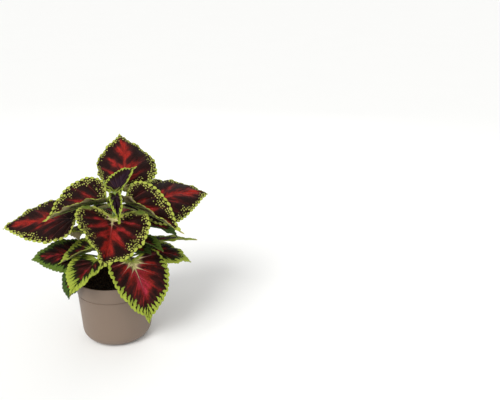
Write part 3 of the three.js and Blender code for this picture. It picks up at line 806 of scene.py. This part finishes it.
def lime_islands(node, at, moved, edge_gap):
    """Rows of lime islands on the dark skin, close-set at the rim, that shrink and scatter inwards."""
    cells = node("VectorMath", {0: moved, 1: (TOOTH_UNIT / ISLAND[0], 1 / ISLAND[1], 1.0)},
                 operation="MULTIPLY")
    grain = {"Vector": cells, "Scale": 1.0, "Randomness": 0.6}
    net = node("TexVoronoi", grain, feature="DISTANCE_TO_EDGE", voronoi_dimensions="2D")
    cell = node("TexVoronoi", grain, feature="F1", voronoi_dimensions="2D")
    chance, varied, _ = node("SeparateXYZ", {0: cell.outputs["Color"]}).outputs

    # An island's radius, in cells, shrinks inwards; each fills its own share of it, inside a dark wall.
    radius = node("MapRange", {0: at.belt, 1: 0.15, 2: 1.0, 3: 0.52, 4: 0.27})
    share = node("MapRange", {0: varied, 3: 0.65, 4: 1.15})
    radius = node("Math", {0: radius, 1: share}, operation="MULTIPLY")
    spot = node("Math", {0: radius, 1: cell.outputs["Distance"]}, operation="SUBTRACT")
    walled = node("Math", {0: net, 1: 0.19}, operation="SUBTRACT")
    inside = node("Math", {0: spot, 1: walled}, operation="MINIMUM")
    mask = node("MapRange", {0: inside, 1: -0.03, 2: 0.06}, **SMOOTH)

    # Fewer are left inwards, and none on the chain of beads, past the belt or on a side vein.
    rarer = node("MapRange", {0: at.belt, 1: 0.25, 2: 1.05, 3: 0.04, 4: 0.92})
    kept = node("Math", {0: chance, 1: rarer}, operation="GREATER_THAN")
    beyond = node("MapRange", {0: edge_gap, 1: 0.5, 2: 0.9})
    within = node("MapRange", {0: at.belt, 1: 1.05, 2: 1.15, 3: 1.0, 4: 0.0})
    clear = node("MapRange", {0: at.vein_gap, 1: 0.3, 2: 0.7})
    for part in (kept, beyond, within, clear):
        mask = node("Math", {0: mask, 1: part}, operation="MULTIPLY")
    return mask


def lime_fingers(node, look, at):
    """Lime fingers that reach in from the rim along the veins, each as far as it happened to grow, with
    thin dark lines between them."""
    swayed = node("Math", {0: at.sway, 1: 0.9, 2: at.tooth}, operation="MULTIPLY_ADD")
    count = node("Math", {0: swayed, 1: look.feathers}, operation="MULTIPLY")
    wave = node("Math", {0: count, 1: 0.5}, operation="PINGPONG")
    ridge = node("Math", {0: wave, 1: 2.0}, operation="MULTIPLY")

    # Fingers lie far apart in the noise, so that each has a length of its own.
    finger = node("Math", {0: count}, operation="FLOOR")
    finger = node("Math", {0: finger, 1: 3.7}, operation="MULTIPLY")
    place = node("CombineXYZ", {0: finger, 1: at.half})
    grown = node("TexNoise", {"Vector": place, "Scale": 1.0, "Detail": 0.0})
    grown = node("Math", {0: grown, 1: 1.5, 2: 0.25}, operation="MULTIPLY_ADD")
    far = node("Math", {0: at.belt, 1: grown}, operation="MULTIPLY")

    # Dark wedges between the fingers open inwards and close over their ends.
    line = node("MapRange", {0: far, 1: 0.0, 2: 0.7, 3: look.gap[0], 4: look.gap[1]})
    end = node("MapRange", {0: far, 1: 0.4, 2: 1.1}, **SMOOTH)
    wedge = node("Math", {0: line, 1: end}, operation="ADD")
    inside = node("Math", {0: ridge, 1: wedge}, operation="SUBTRACT")
    return node("MapRange", {0: inside, 1: -0.08, 2: 0.12}, **SMOOTH)


def lime_rim(node, look, at):
    """A chain of lime beads, one a tooth, then islands or fingers, and a plain lime tip."""
    moved = node("VectorMath", {0: at.drift, 1: (RIM_DRIFT[0] / TOOTH_UNIT, RIM_DRIFT[1], 0.0),
                                2: at.rim_place}, operation="MULTIPLY_ADD").outputs[0]
    moved_gap = node("SeparateXYZ", {0: moved}).outputs["Y"]

    # A bead bulges inwards where its tooth is full.
    half_tooth = node("Math", {0: at.rim_tooth, 1: 0.5}, operation="PINGPONG")
    round_tooth = node("Math", {0: half_tooth, 1: 0.5}, operation="POWER")
    chain = node("Math", {0: round_tooth, 1: 1.5 * look.bead, 2: -0.3}, operation="MULTIPLY_ADD")
    edge_gap = node("Math", {0: moved_gap, 1: chain}, operation="SUBTRACT")
    mask = node("MapRange", {0: edge_gap, 1: 0.3, 2: -0.3}, **SMOOTH)
    inner = lime_fingers(node, look, at) if look.feathers else lime_islands(node, at, moved, edge_gap)
    for part in (inner, at.tip, at.lobe):
        mask = node("Math", {0: mask, 1: part}, operation="MAXIMUM")
    return mask


def red_flames(node, look, at):
    """Ragged streaks of red that follow the side veins out from the midrib, over an almost black skin."""
    shared = settings().leaf
    grain = node("VectorMath", {0: at.vein_place, 1: (FLAME[0], 1 / FLAME[1], 1.0)}, operation="MULTIPLY")
    streaks = node("TexNoise", {"Vector": grain, "Scale": 1.0, "Detail": 4.0, "Roughness": 0.62})

    # Both noises are centred on 0 and added to the slow field of warmth.
    ragged = node("Math", {0: streaks, 1: 3.6, 2: -1.8}, operation="MULTIPLY_ADD")
    patchy = node("Math", {0: at.patchy, 1: 3.0, 2: -1.5}, operation="MULTIPLY_ADD")
    heat = node("Math", {0: at.warmth, 1: ragged}, operation="ADD")
    heat = node("Math", {0: heat, 1: patchy}, operation="ADD")
    if look.hot == "plum":
        warm = deep = hot = rgba(shared.plum)
    else:
        warm, deep = rgba(shared.maroon), rgba(mix(np.array(shared.red), np.array(shared.deep), 0.6))
        pinkish = {0: at.vein, 1: 1.0, 2: 4.5, 3: 0.8, 4: 0.0}
        if look.hot == "crimson":
            pinkish = {0: at.midrib_gap, 1: 4.0, 2: 17.0, 3: 0.85, 4: 0.0}
        hot = node("Mix", {0: node("MapRange", pinkish), "A": rgba(shared.red), "B": rgba(shared.crimson)},
                   data_type="RGBA")
    skin = rgba(shared.dark)
    for low, high, tone in ((-1.2, -0.3, warm), (-0.2, 0.5, deep), (0.4, 1.3, hot)):
        part = node("MapRange", {0: heat, 1: low, 2: high})
        skin = node("Mix", {0: part, "A": skin, "B": tone}, data_type="RGBA")
    return skin


def pale_veins(node, look, at):
    """Pale midrib and side veins, palest at the stalk, whose own colour runs out along them: pairs of how
    much and which colour, from the lowest coat to the top one."""
    shared = settings().leaf
    line = node("MapRange", {0: at.midrib_gap, 1: 0.3, 2: 0.9, 3: 1.0, 4: 0.0})
    thread = node("MapRange", {0: at.vein_gap, 1: 0.15, 2: 0.55, 3: 0.6, 4: 0.0})
    if look.joint:
        close = node("MapRange", {0: at.joint, 1: -0.8, 2: 0.0, 3: 0.12, 4: 1.0})
        thread = node("Math", {0: thread, 1: close}, operation="MULTIPLY")
    lines = node("Math", {0: line, 1: thread}, operation="MAXIMUM")
    lines = node("Math", {0: lines, 1: at.pale}, operation="MULTIPLY")
    coats = [(lines, shared.pink)]
    if look.joint:
        blush = node("MapRange", {0: at.joint, 1: -0.5, 2: 0.2, 4: 0.6}, **SMOOTH)
        creamy = node("MapRange", {0: at.joint, 1: -0.05, 2: 0.35}, **SMOOTH)
        coats += [(blush, shared.pink), (creamy, shared.cream)]
    return coats


def rim_tone(node, look, at):
    """The rim in the look's edge colour: lime for most, grass for the lowest leaves and the Shade green,
    painted shade, for the shaded look. A broad rim turns green inwards, islands are yellowish, then olive,
    and the lobes at the stalk are plain green over a faint cream, painted light shining through them."""
    shared = settings().leaf
    tone = rgba(getattr(shared, look.edge))
    tones = ((0.1, 0.3, shared.island), (0.4, 1.1, shared.olive))
    if look.feathers:
        tones = ((0.3, 1.0, shared.green),)
    for near, far, other in tones:
        inward = node("MapRange", {0: at.belt, 1: near, 2: far})
        blend = node("Math", {0: inward, 1: at.patchy, 2: 0.1}, operation="MULTIPLY_ADD")
        tone = node("Mix", {0: blend, "A": tone, "B": rgba(other)}, data_type="RGBA")
    if look.lobes:
        inward = node("MapRange", {0: at.rim_gap, 1: 0.5, 2: 3.0, 3: 0.6, 4: 1.0})
        # The faint cream on the lobes is painted light shining through their thin edges; plain green lies
        # over it.
        for share, other in ((0.12, shared.cream), (inward, shared.grass)):
            part = node("Math", {0: share, 1: at.lobe}, operation="MULTIPLY")
            tone = node("Mix", {0: part, "A": tone, "B": rgba(other)}, data_type="RGBA")
    return tone


def velvet_leaf(look):
    """Living leaf, finely haired upper skin. The hairs break up its gloss, so that its highlights are
    broad and weak; the colours lie in the skin and follow its teeth and veins. The shaded look's darker
    centre and Shade-green rim are painted shade."""
    shared = settings().leaf
    material, node = new_material(f"Living leaf, haired upper skin, {look.name}")
    at = skin_places(node)
    rim = lime_rim(node, look, at)
    skin = red_flames(node, look, at)

    # The net of the finest veins is darker than the skin between them, and that skin is puckered.
    net_place = node("VectorMath", {0: at.drift, 1: (NET_DRIFT, NET_DRIFT, 0.0), 2: at.flat_place},
                     operation="MULTIPLY_ADD")
    fine = node("TexVoronoi", {"Vector": net_place, "Scale": 1 / PUCKER}, feature="DISTANCE_TO_EDGE")
    pucker = node("MapRange", {0: fine, 1: 0.0, 2: 0.3}, **SMOOTH)
    net = node("MapRange", {0: fine, 1: 0.0, 2: 0.14, 3: 0.4, 4: 0.0})
    coats = [(net, shared.dark), *pale_veins(node, look, at)]
    if look.feathers:
        mossy = node("MapRange", {0: at.belt, 1: 1.15, 2: 0.6, 4: look.moss})
        coats.append((mossy, shared.moss))
    for share, tone in coats:
        skin = node("Mix", {0: share, "A": skin, "B": rgba(tone)}, data_type="RGBA")
    skin = node("Mix", {0: rim, "A": skin, "B": rim_tone(node, look, at)}, data_type="RGBA")

    groove = node("MapRange", {0: at.vein_gap}, **SMOOTH)
    height = node("Math", {0: groove, 1: pucker}, operation="ADD")
    height = node("Math", {0: height, 1: rim}, operation="ADD")
    return finish_material(material, skin, height, 0.3 * MM, Roughness=0.55, Specular_IOR_Level=0.08)


def leaf_underside():
    """Living leaf, underside: matt and brownish green, with a raised, paler net of veins, a broad khaki band
    along the rim and a cream edge. The dark brownish green is partly painted shade, and the band and the
    edge are partly the paler rim and partly a painted highlight where the rolled rims catch the light."""
    shared = settings().leaf
    material, node = new_material("Living leaf, veined underside")
    flat_place, *_ = stored(node, "flat_place")
    _, _, rim_gap, _ = stored(node, "rim_place")
    patchy = node("TexNoise", {"Vector": flat_place, "Scale": 1 / MOTTLE, "Detail": 3.0})
    net = node("TexVoronoi", {"Vector": flat_place, "Scale": 1 / PUCKER}, feature="DISTANCE_TO_EDGE")
    raised = node("MapRange", {0: net, 1: 0.0, 2: 0.16, 3: 1.0, 4: 0.0}, **SMOOTH)
    mottle = node("MapRange", {0: patchy, 1: 0.4, 2: 0.65})
    dull = mix(np.array(shared.moss), np.array(shared.maroon), 0.3)
    # Along the rim the khaki band and the cream edge are partly the paler rim and partly a painted highlight;
    # the dark base colour beneath them is partly painted shade.
    band = node("MapRange", {0: rim_gap, 1: 5.0, 2: 15.0, 3: 0.85, 4: 0.0})
    edge = node("MapRange", {0: rim_gap, 1: -0.5, 2: 1.5, 3: 0.5, 4: 0.0})
    veined = node("Math", {0: raised, 1: 0.25}, operation="MULTIPLY")
    skin = rgba(shared.underside)
    for share, tone in ((mottle, dull), (veined, shared.khaki), (band, shared.khaki), (edge, shared.cream)):
        skin = node("Mix", {0: share, "A": skin, "B": rgba(tone)}, data_type="RGBA")
    return finish_material(material, skin, raised, 0.2 * MM, Roughness=0.65, Specular_IOR_Level=0.08)


def green_stalk():
    """Fresh stalk and stem, smooth and juicy: pale green, streaked along its length, softly glossy."""
    shared = settings().leaf
    material, node = new_material("Fresh green stalk, smooth skin")
    place = node("TexCoord").outputs["Object"]
    # The streaks are 2 mm wide and 17 mm long.
    stretched = node("VectorMath", {0: place, 1: (0.5 / MM, 0.5 / MM, 0.06 / MM)}, operation="MULTIPLY")
    streak = node("TexNoise", {"Vector": stretched, "Scale": 1.0, "Detail": 3.0})
    dark = mix(np.array(shared.stalk), np.array(shared.green), 0.7)
    skin = node("Mix", {0: streak, "A": rgba(dark), "B": rgba(shared.stalk)}, data_type="RGBA")
    return finish_material(material, skin, streak, 0.1 * MM, Roughness=0.42, Subsurface_Weight=0.1,
                           Subsurface_Scale=1.5 * MM)


def moulded_plastic():
    """Polypropylene, injection moulded: an even satin taupe with a faint grain and fine scuffs that
    break up its broad highlight."""
    pot = settings().pot
    material, node = new_material("Polypropylene, injection moulded")
    place = node("TexCoord").outputs["Object"]
    cloudy = node("TexNoise", {"Vector": place, "Scale": 1 / (45 * MM), "Detail": 3.0})
    fine = node("TexNoise", {"Vector": place, "Scale": 1 / (0.9 * MM), "Detail": 2.0})
    # The scuffs run round the pot, 7 mm long and 0.7 mm high.
    level = node("VectorMath", {0: place, 1: (0.15 / MM, 0.15 / MM, 1.4 / MM)}, operation="MULTIPLY")
    scuffs = node("TexNoise", {"Vector": level, "Scale": 1.0, "Detail": 4.0, "Roughness": 0.7})
    scuffed = node("MapRange", {0: scuffs, 1: 0.6, 2: 0.75, 4: 0.18})
    plastic = np.array(pot.plastic)
    dusk, pale = mix(plastic, np.zeros(3), 0.08), mix(plastic, np.ones(3), 0.06)
    skin = node("Mix", {0: cloudy, "A": rgba(dusk), "B": rgba(pot.plastic)}, data_type="RGBA")
    skin = node("Mix", {0: scuffed, "A": skin, "B": rgba(pale)}, data_type="RGBA")
    rough = node("MapRange", {0: scuffs, 1: 0.3, 2: 0.7, 3: 0.42, 4: 0.56})
    return finish_material(material, skin, fine, 0.03 * MM, Roughness=rough, IOR=1.49)


def soil_material(name, grain):
    """Moist peat and bark: matt, dark and crumbly, each crumb a shade of its own. grain: size of a lump."""
    soil = settings().soil
    material, node = new_material(name)
    place = node("TexCoord").outputs["Object"]
    _, shade, _, _ = stored(node, "shade")
    lumps = node("TexNoise", {"Vector": place, "Scale": 1 / grain, "Detail": 5.0, "Roughness": 0.7})
    blend = node("Math", {0: lumps, 1: shade}, operation="MULTIPLY", use_clamp=True)
    skin = node("Mix", {0: blend, "A": rgba(soil.peat), "B": rgba(soil.bark)}, data_type="RGBA")
    return finish_material(material, skin, lumps, 0.8 * MM, Roughness=0.9, Specular_IOR_Level=0.25)


def floor_material():
    """Matt lacquered board: pale and even, with the faintest mottling, a third of a metre across."""
    stage = settings().stage
    material, node = new_material("Board, matt lacquered")
    place = node("TexCoord").outputs["Object"]
    cloudy = node("TexNoise", {"Vector": place, "Scale": 3.0, "Detail": 2.0})
    shade = tuple(0.985 * np.array(stage.floor))
    skin = node("Mix", {0: cloudy, "A": rgba(shade), "B": rgba(stage.floor)}, data_type="RGBA")
    return finish_material(material, skin, Roughness=0.8, Specular_IOR_Level=0.2)


# ---------------------------------------------------------------- operators
class COLEUS_OT_pot(bpy.types.Operator):
    """Moulds the round pot: rim band, wall, rounded corner and a base with drain holes"""
    bl_idname = "coleus.pot"
    bl_label = "Mould Pot"

    def execute(self, context):
        pot = settings().pot
        points, faces = turned(pot_profile(pot), sides=192)
        piece = new_piece("moulded_pot", points, faces, "pot", [moulded_plastic()], sharp=28)
        drill_drain_holes(piece)
        return {"FINISHED"}


def round_corner(centre, radius, start, end, count):
    """Points of an arc about (r, z), from one angle in degrees to another."""
    angles = np.radians(np.linspace(start, end, count))
    return [(centre[0] + radius * math.cos(a), centre[1] + radius * math.sin(a)) for a in angles]


def pot_profile(pot):
    """The pot's closed (radius, height) outline in metres."""
    base, fillet, floor = 52.3 * MM, 19 * MM, 1.6 * MM
    disc, channel, channel_top, slant = 12 * MM, 27 * MM, 2.5 * MM, 1.25 * MM
    taper, step, band_wall = 2.6 * MM, 1.0 * MM, 1.8 * MM
    groove, groove_foot, groove_low, bevel = 0.65 * MM, 2.3 * MM, 1.9 * MM, 0.2 * MM
    lip, lip_flat = 0.55 * MM, 0.1 * MM
    band_low, band = pot.height - pot.band_height, pot.rim_radius - taper
    wall_top = band - step
    slope = math.atan2(wall_top - base, band_low)

    def corner(inset, lift):
        radius = fillet - inset
        centre_z = lift + radius
        wall = mix(base, wall_top, centre_z / band_low)
        centre = (wall - inset - radius / math.cos(slope), centre_z)
        return round_corner(centre, radius, -90, -math.degrees(slope), 22)

    outer = [(0, 0), (disc, 0), (disc + slant, channel_top), (channel - slant, channel_top), (channel, 0),
             *corner(0, 0),
             (wall_top, band_low - groove_foot), (wall_top - groove, band_low - groove_low),
             (wall_top - groove, band_low - bevel), (band - bevel, band_low), (band, band_low + bevel),
             *round_corner((pot.rim_radius - lip, pot.height - lip), lip, 0, 90, 6)]
    inside = [*round_corner((pot.rim_radius - 2 * lip - lip_flat, pot.height - lip), lip, 90, 180, 6),
              (band - band_wall, band_low), (wall_top - pot.wall, band_low - 2 * MM),
              *corner(pot.wall, floor)[::-1],
              (channel + floor, floor), (channel, channel_top + floor), (disc, channel_top + floor),
              (disc - floor, floor), (0, floor)]
    return outer + inside


def drill_drain_holes(piece):
    """Six round holes through the raised channel of the base."""
    holes, ring, radius, sides = 6, 19.5 * MM, 4 * MM, 32
    low, high = -1 * MM, 9 * MM
    points, faces = [], []
    for hole in range(holes):
        turn = hole * 2 * math.pi / holes
        across = circle(sides) * radius + (ring * math.cos(turn), ring * math.sin(turn))
        foot = len(points)
        head = foot + sides
        points += [(x, y, z) for z in (low, high) for x, y in across]
        faces += [list(range(foot, head))[::-1], list(range(head, head + sides))]
        for i in range(sides):
            j = (i + 1) % sides
            faces.append([foot + i, foot + j, head + j, head + i])
    drills = bpy.data.meshes.new("drain_drills")
    drills.from_pydata(points, [], faces)
    drill = bpy.data.objects.new("drain_drills", drills)
    bpy.context.collection.objects.link(drill)
    cut = piece.modifiers.new("drain holes", "BOOLEAN")
    cut.operation, cut.solver, cut.object = "DIFFERENCE", "EXACT", drill
    shape = bpy.data.meshes.new_from_object(piece.evaluated_get(bpy.context.evaluated_depsgraph_get()))
    piece.modifiers.clear()
    piece.data = shape
    bpy.data.objects.remove(drill)


BROAD_LUMP, SMALL_LUMP = 16, 4    # mm across the lumps in the soil's surface


def soil_height(x, y):
    """How far the soil's surface stands above its mean at a place in mm."""
    broad = noise.fractal((x / BROAD_LUMP, y / BROAD_LUMP, 3.1), 1.0, 2.0, 4)
    small = noise.fractal((x / SMALL_LUMP, y / SMALL_LUMP, 7.7), 0.8, 2.2, 3)
    return settings().soil.lump / MM * (broad + 0.5 * small) * 0.6


SOIL_ROOM = 3.7       # mm from the rim's outer radius to the edge of the soil
SOIL_CROWN = 0.8      # mm that the middle of the soil stands above its edge


class COLEUS_OT_soil(bpy.types.Operator):
    """Fills the pot with soil and strews crumbs of bark and peat over it"""
    bl_idname = "coleus.soil"
    bl_label = "Fill With Soil"

    def execute(self, context):
        soil, pot = settings().soil, settings().pot
        top, radius = soil.top / MM, pot.rim_radius / MM - SOIL_ROOM
        rings = np.linspace(0, radius, 46)
        # Below its surface the soil keeps just inside the pot's wall.
        below = [(0, 5.0), (45.0, 5.0), (49.5, 20.0), (52.0, 60.0), (54.0, 80.0)]
        surface = [(r, top - SOIL_CROWN * smoothstep(0.8, 1.0, r / radius)) for r in rings[:0:-1]]
        points, faces = turned(below + surface + [(0, top)], sides=120)
        for point in points:
            if point[2] > top - 2:
                point[2] += soil_height(point[0], point[1]) + SOIL_CROWN
        material = soil_material("Peat, moist and crumbled", 3.0 * MM)
        piece = new_piece("packed_soil", points * MM, faces, "soil", [material], sharp=180)
        store(piece.data, "shade", np.tile((0.6, 0, 0), (len(points), 1)))
        self.strew(soil, radius)
        return {"FINISHED"}

    def strew(self, soil, radius):
        """Irregular crumbs that lie on the surface, the same on every run."""
        rng = np.random.default_rng(8)
        tool = bmesh.new()
        bmesh.ops.create_icosphere(tool, subdivisions=1, radius=1.0)
        ball = np.array([v.co for v in tool.verts])
        corners = np.array([[v.index for v in f.verts] for f in tool.faces])
        tool.free()

        # Most crumbs are small; a quarter are splinters. Each is rough, tipped a little and spun.
        count = soil.crumbs
        r, a = (radius - 1.5) * np.sqrt(rng.random(count)), rng.random(count) * 2 * math.pi
        sizes = 0.35 + 1.1 * rng.random(count) ** 3
        stretch = sizes[:, None] * (0.6 + 0.9 * rng.random((count, 3)))
        stretch[:, 0] *= 1 + 2.2 * (rng.random(count) < 0.25)
        rough = 1 + 0.3 * (rng.random((count, len(ball), 1)) - 0.5)
        crumbs = ball[None] * rough * stretch[:, None]
        spin, tip = rng.random((2, count))[:, :, None]
        spin, tip = spin * 2 * math.pi, (tip - 0.5) * 0.9
        x = crumbs[..., 0] * np.cos(tip) - crumbs[..., 2] * np.sin(tip)
        z = crumbs[..., 0] * np.sin(tip) + crumbs[..., 2] * np.cos(tip)
        y = crumbs[..., 1]
        place = np.stack([r * np.cos(a), r * np.sin(a)], -1)
        high = np.array([soil_height(px, py) for px, py in place])
        high += soil.top / MM + SOIL_CROWN * (1 - smoothstep(0.8, 1.0, r / radius)) + 0.25 * sizes
        points = np.stack([place[:, :1] + x * np.cos(spin) - y * np.sin(spin),
                           place[:, 1:] + x * np.sin(spin) + y * np.cos(spin),
                           high[:, None] + z], -1).reshape(-1, 3)
        faces = (corners[None] + np.arange(count)[:, None, None] * len(ball)).reshape(-1, 3)
        material = soil_material("Bark and peat, shredded", 1.2 * MM)
        piece = new_piece("strewn_crumbs", points * MM, faces, None, [material], sharp=40)
        shade = np.repeat(0.3 + 1.5 * rng.random(count) ** 2, len(ball))
        store(piece.data, "shade", np.stack([shade, 0 * shade, 0 * shade], -1))


def grooved_square(sides, corner):
    """Outline of a square stem with rounded corners and slightly hollow faces, 1 from centre to face."""
    angles = np.arange(sides) * 2 * math.pi / sides
    cos, sin = np.cos(angles), np.sin(angles)
    reach = 1 / (np.abs(cos) ** corner + np.abs(sin) ** corner) ** (1 / corner)
    hollow = 1 - 0.07 * np.maximum(np.cos(4 * angles), 0) ** 2
    return np.stack([cos, sin], -1) * (reach * hollow)[:, None]


class COLEUS_OT_stems(bpy.types.Operator):
    """Grows the square main stem and the three side shoots, swollen where leaves join"""
    bl_idname = "coleus.stems"
    bl_label = "Grow Stems"

    def execute(self, context):
        material = green_stalk()
        self.grow("main_stem", "", stem_axis, STEM["foot"], STEM["top"], STEM["width"], material)
        for name, shoot in SHOOTS.items():
            self.grow(f"{name}_stem", name, lambda z, s=shoot: shoot_axis(s, z), shoot["from"],
                      shoot["top"], shoot["width"], material)
        return {"FINISHED"}

    def grow(self, node, on, axis, low, high, width, material):
        """One stem along its axis, tapering to a rounded top, with a swelling at each of its leaves."""
        z = np.linspace(low, high, int(high - low) + 1)
        joints = [leaf.node for leaf in LEAVES.values() if leaf.on == on]
        swell = sum(0.14 * np.exp(-((z - joint) / 2.6) ** 2) for joint in sorted(set(joints)))
        taper = mix(1.06, 0.8, (z - low) / (high - low))
        end = np.sqrt(np.clip((high - z) / 1.5, 0.15, 1))
        radii = width / 2 * taper * (1 + swell) * end
        points, faces = tube(axis(z), radii, grooved_square(sides=32, corner=5))
        new_piece(f"grown_{node}", points * MM, faces, node, [material], sharp=60)


class COLEUS_OT_leaves(bpy.types.Operator):
    """Grows all the leaves with their stalks and ribs"""
    bl_idname = "coleus.leaves"
    bl_label = "Grow Leaves"

    def execute(self, context):
        below, stalk, upper = leaf_underside(), green_stalk(), {}
        for number, (name, leaf) in enumerate(LEAVES.items()):
            if leaf.look.name not in upper:
                upper[leaf.look.name] = velvet_leaf(leaf.look)
            leaf_piece(name, leaf, 1.0 + number, [upper[leaf.look.name], below, stalk])
        return {"FINISHED"}


FLOOR_REACH = 15.0    # m from the middle of the floor to its edges, past what any view shows
KEY_PLACE, KEY_SPREAD = (-0.45, -0.75, 0.95), 35    # where the key light hangs, and its width in degrees
SOFT_BOXES = {"fill_light": (1.2, (0.9, -0.7, 0.7)),    # its size and where it hangs, in m
              "back_light": (1.0, (0.2, 1.1, 0.9))}
PLANT_MIDDLE = (0, 0, 0.15)


class COLEUS_OT_stage(bpy.types.Operator):
    """Lays the pale floor, hangs the soft lights and sets up the camera"""
    bl_idname = "coleus.stage"
    bl_label = "Set Stage"

    def execute(self, context):
        stage, scene = settings().stage, context.scene
        mesh = bpy.data.meshes.new("pale_floor")
        corners = ((-1, -1), (1, -1), (1, 1), (-1, 1))
        mesh.from_pydata([(x * FLOOR_REACH, y * FLOOR_REACH, 0) for x, y in corners], [], [(0, 1, 2, 3)])
        mesh.materials.append(floor_material())
        floor = bpy.data.objects.new("pale_floor", mesh)
        scene.collection.objects.link(floor)

        key = bpy.data.lights.new("key_light", "SUN")
        key.energy, key.angle = stage.key, math.radians(KEY_SPREAD)
        self.hang(key, KEY_PLACE)
        for name, (size, place) in SOFT_BOXES.items():
            box = bpy.data.lights.new(name, "AREA")
            box.energy, box.size = stage.fill, size
            self.hang(box, place)

        world = bpy.data.worlds.new("even_surroundings")
        world.use_nodes = True
        sky = world.node_tree.nodes["Background"]
        sky.inputs["Color"].default_value = (1, 1, 1, 1)
        sky.inputs["Strength"].default_value = stage.world
        scene.world = world
        scene.view_settings.view_transform = "Standard"

        lens = bpy.data.cameras.new("camera")
        lens.lens, lens.sensor_width = stage.lens, 36.0
        camera = bpy.data.objects.new("camera", lens)
        camera.location = stage.camera
        camera.rotation_euler = (math.radians(90) - stage.tilt, 0, 0)
        scene.collection.objects.link(camera)
        scene.camera = camera
        return {"FINISHED"}

    def hang(self, light, place):
        """Hangs a light so that it faces the middle of the plant."""
        lamp = bpy.data.objects.new(light.name, light)
        lamp.location = place
        towards = Vector(PLANT_MIDDLE) - lamp.location
        lamp.rotation_euler = towards.to_track_quat("-Z", "Y").to_euler()
        bpy.context.scene.collection.objects.link(lamp)


# ---------------------------------------------------------------- panel and registration
class COLEUS_PT_panel(bpy.types.Panel):
    """Sizes and colours of the plant, and a button for each piece of work"""
    bl_label = "Coleus"
    bl_idname = "COLEUS_PT_panel"
    bl_space_type = "VIEW_3D"
    bl_region_type = "UI"
    bl_category = "Coleus"

    def draw(self, context):
        plant = context.scene.coleus
        for group, operator in ((plant.stage, "coleus.stage"), (plant.pot, "coleus.pot"),
                                (plant.soil, "coleus.soil"), (None, "coleus.stems"),
                                (plant.leaf, "coleus.leaves")):
            box = self.layout.box()
            if group:
                for name in group.bl_rna.properties.keys():
                    if name not in ("rna_type", "name"):
                        box.prop(group, name)
            box.operator(operator)


CLASSES = (PotSettings, SoilSettings, LeafSettings, StageSettings, PlantSettings, COLEUS_OT_pot,
           COLEUS_OT_soil, COLEUS_OT_stems, COLEUS_OT_leaves, COLEUS_OT_stage, COLEUS_PT_panel)


def register():
    for cls in CLASSES:
        bpy.utils.register_class(cls)
    bpy.types.Scene.coleus = PointerProperty(type=PlantSettings)


def unregister():
    del bpy.types.Scene.coleus
    for cls in reversed(CLASSES):
        bpy.utils.unregister_class(cls)


def main():
    register()
    bpy.ops.coleus.stage()
    bpy.ops.coleus.pot()
    bpy.ops.coleus.soil()
    bpy.ops.coleus.stems()
    bpy.ops.coleus.leaves()


if __name__ == "__main__":
    main()
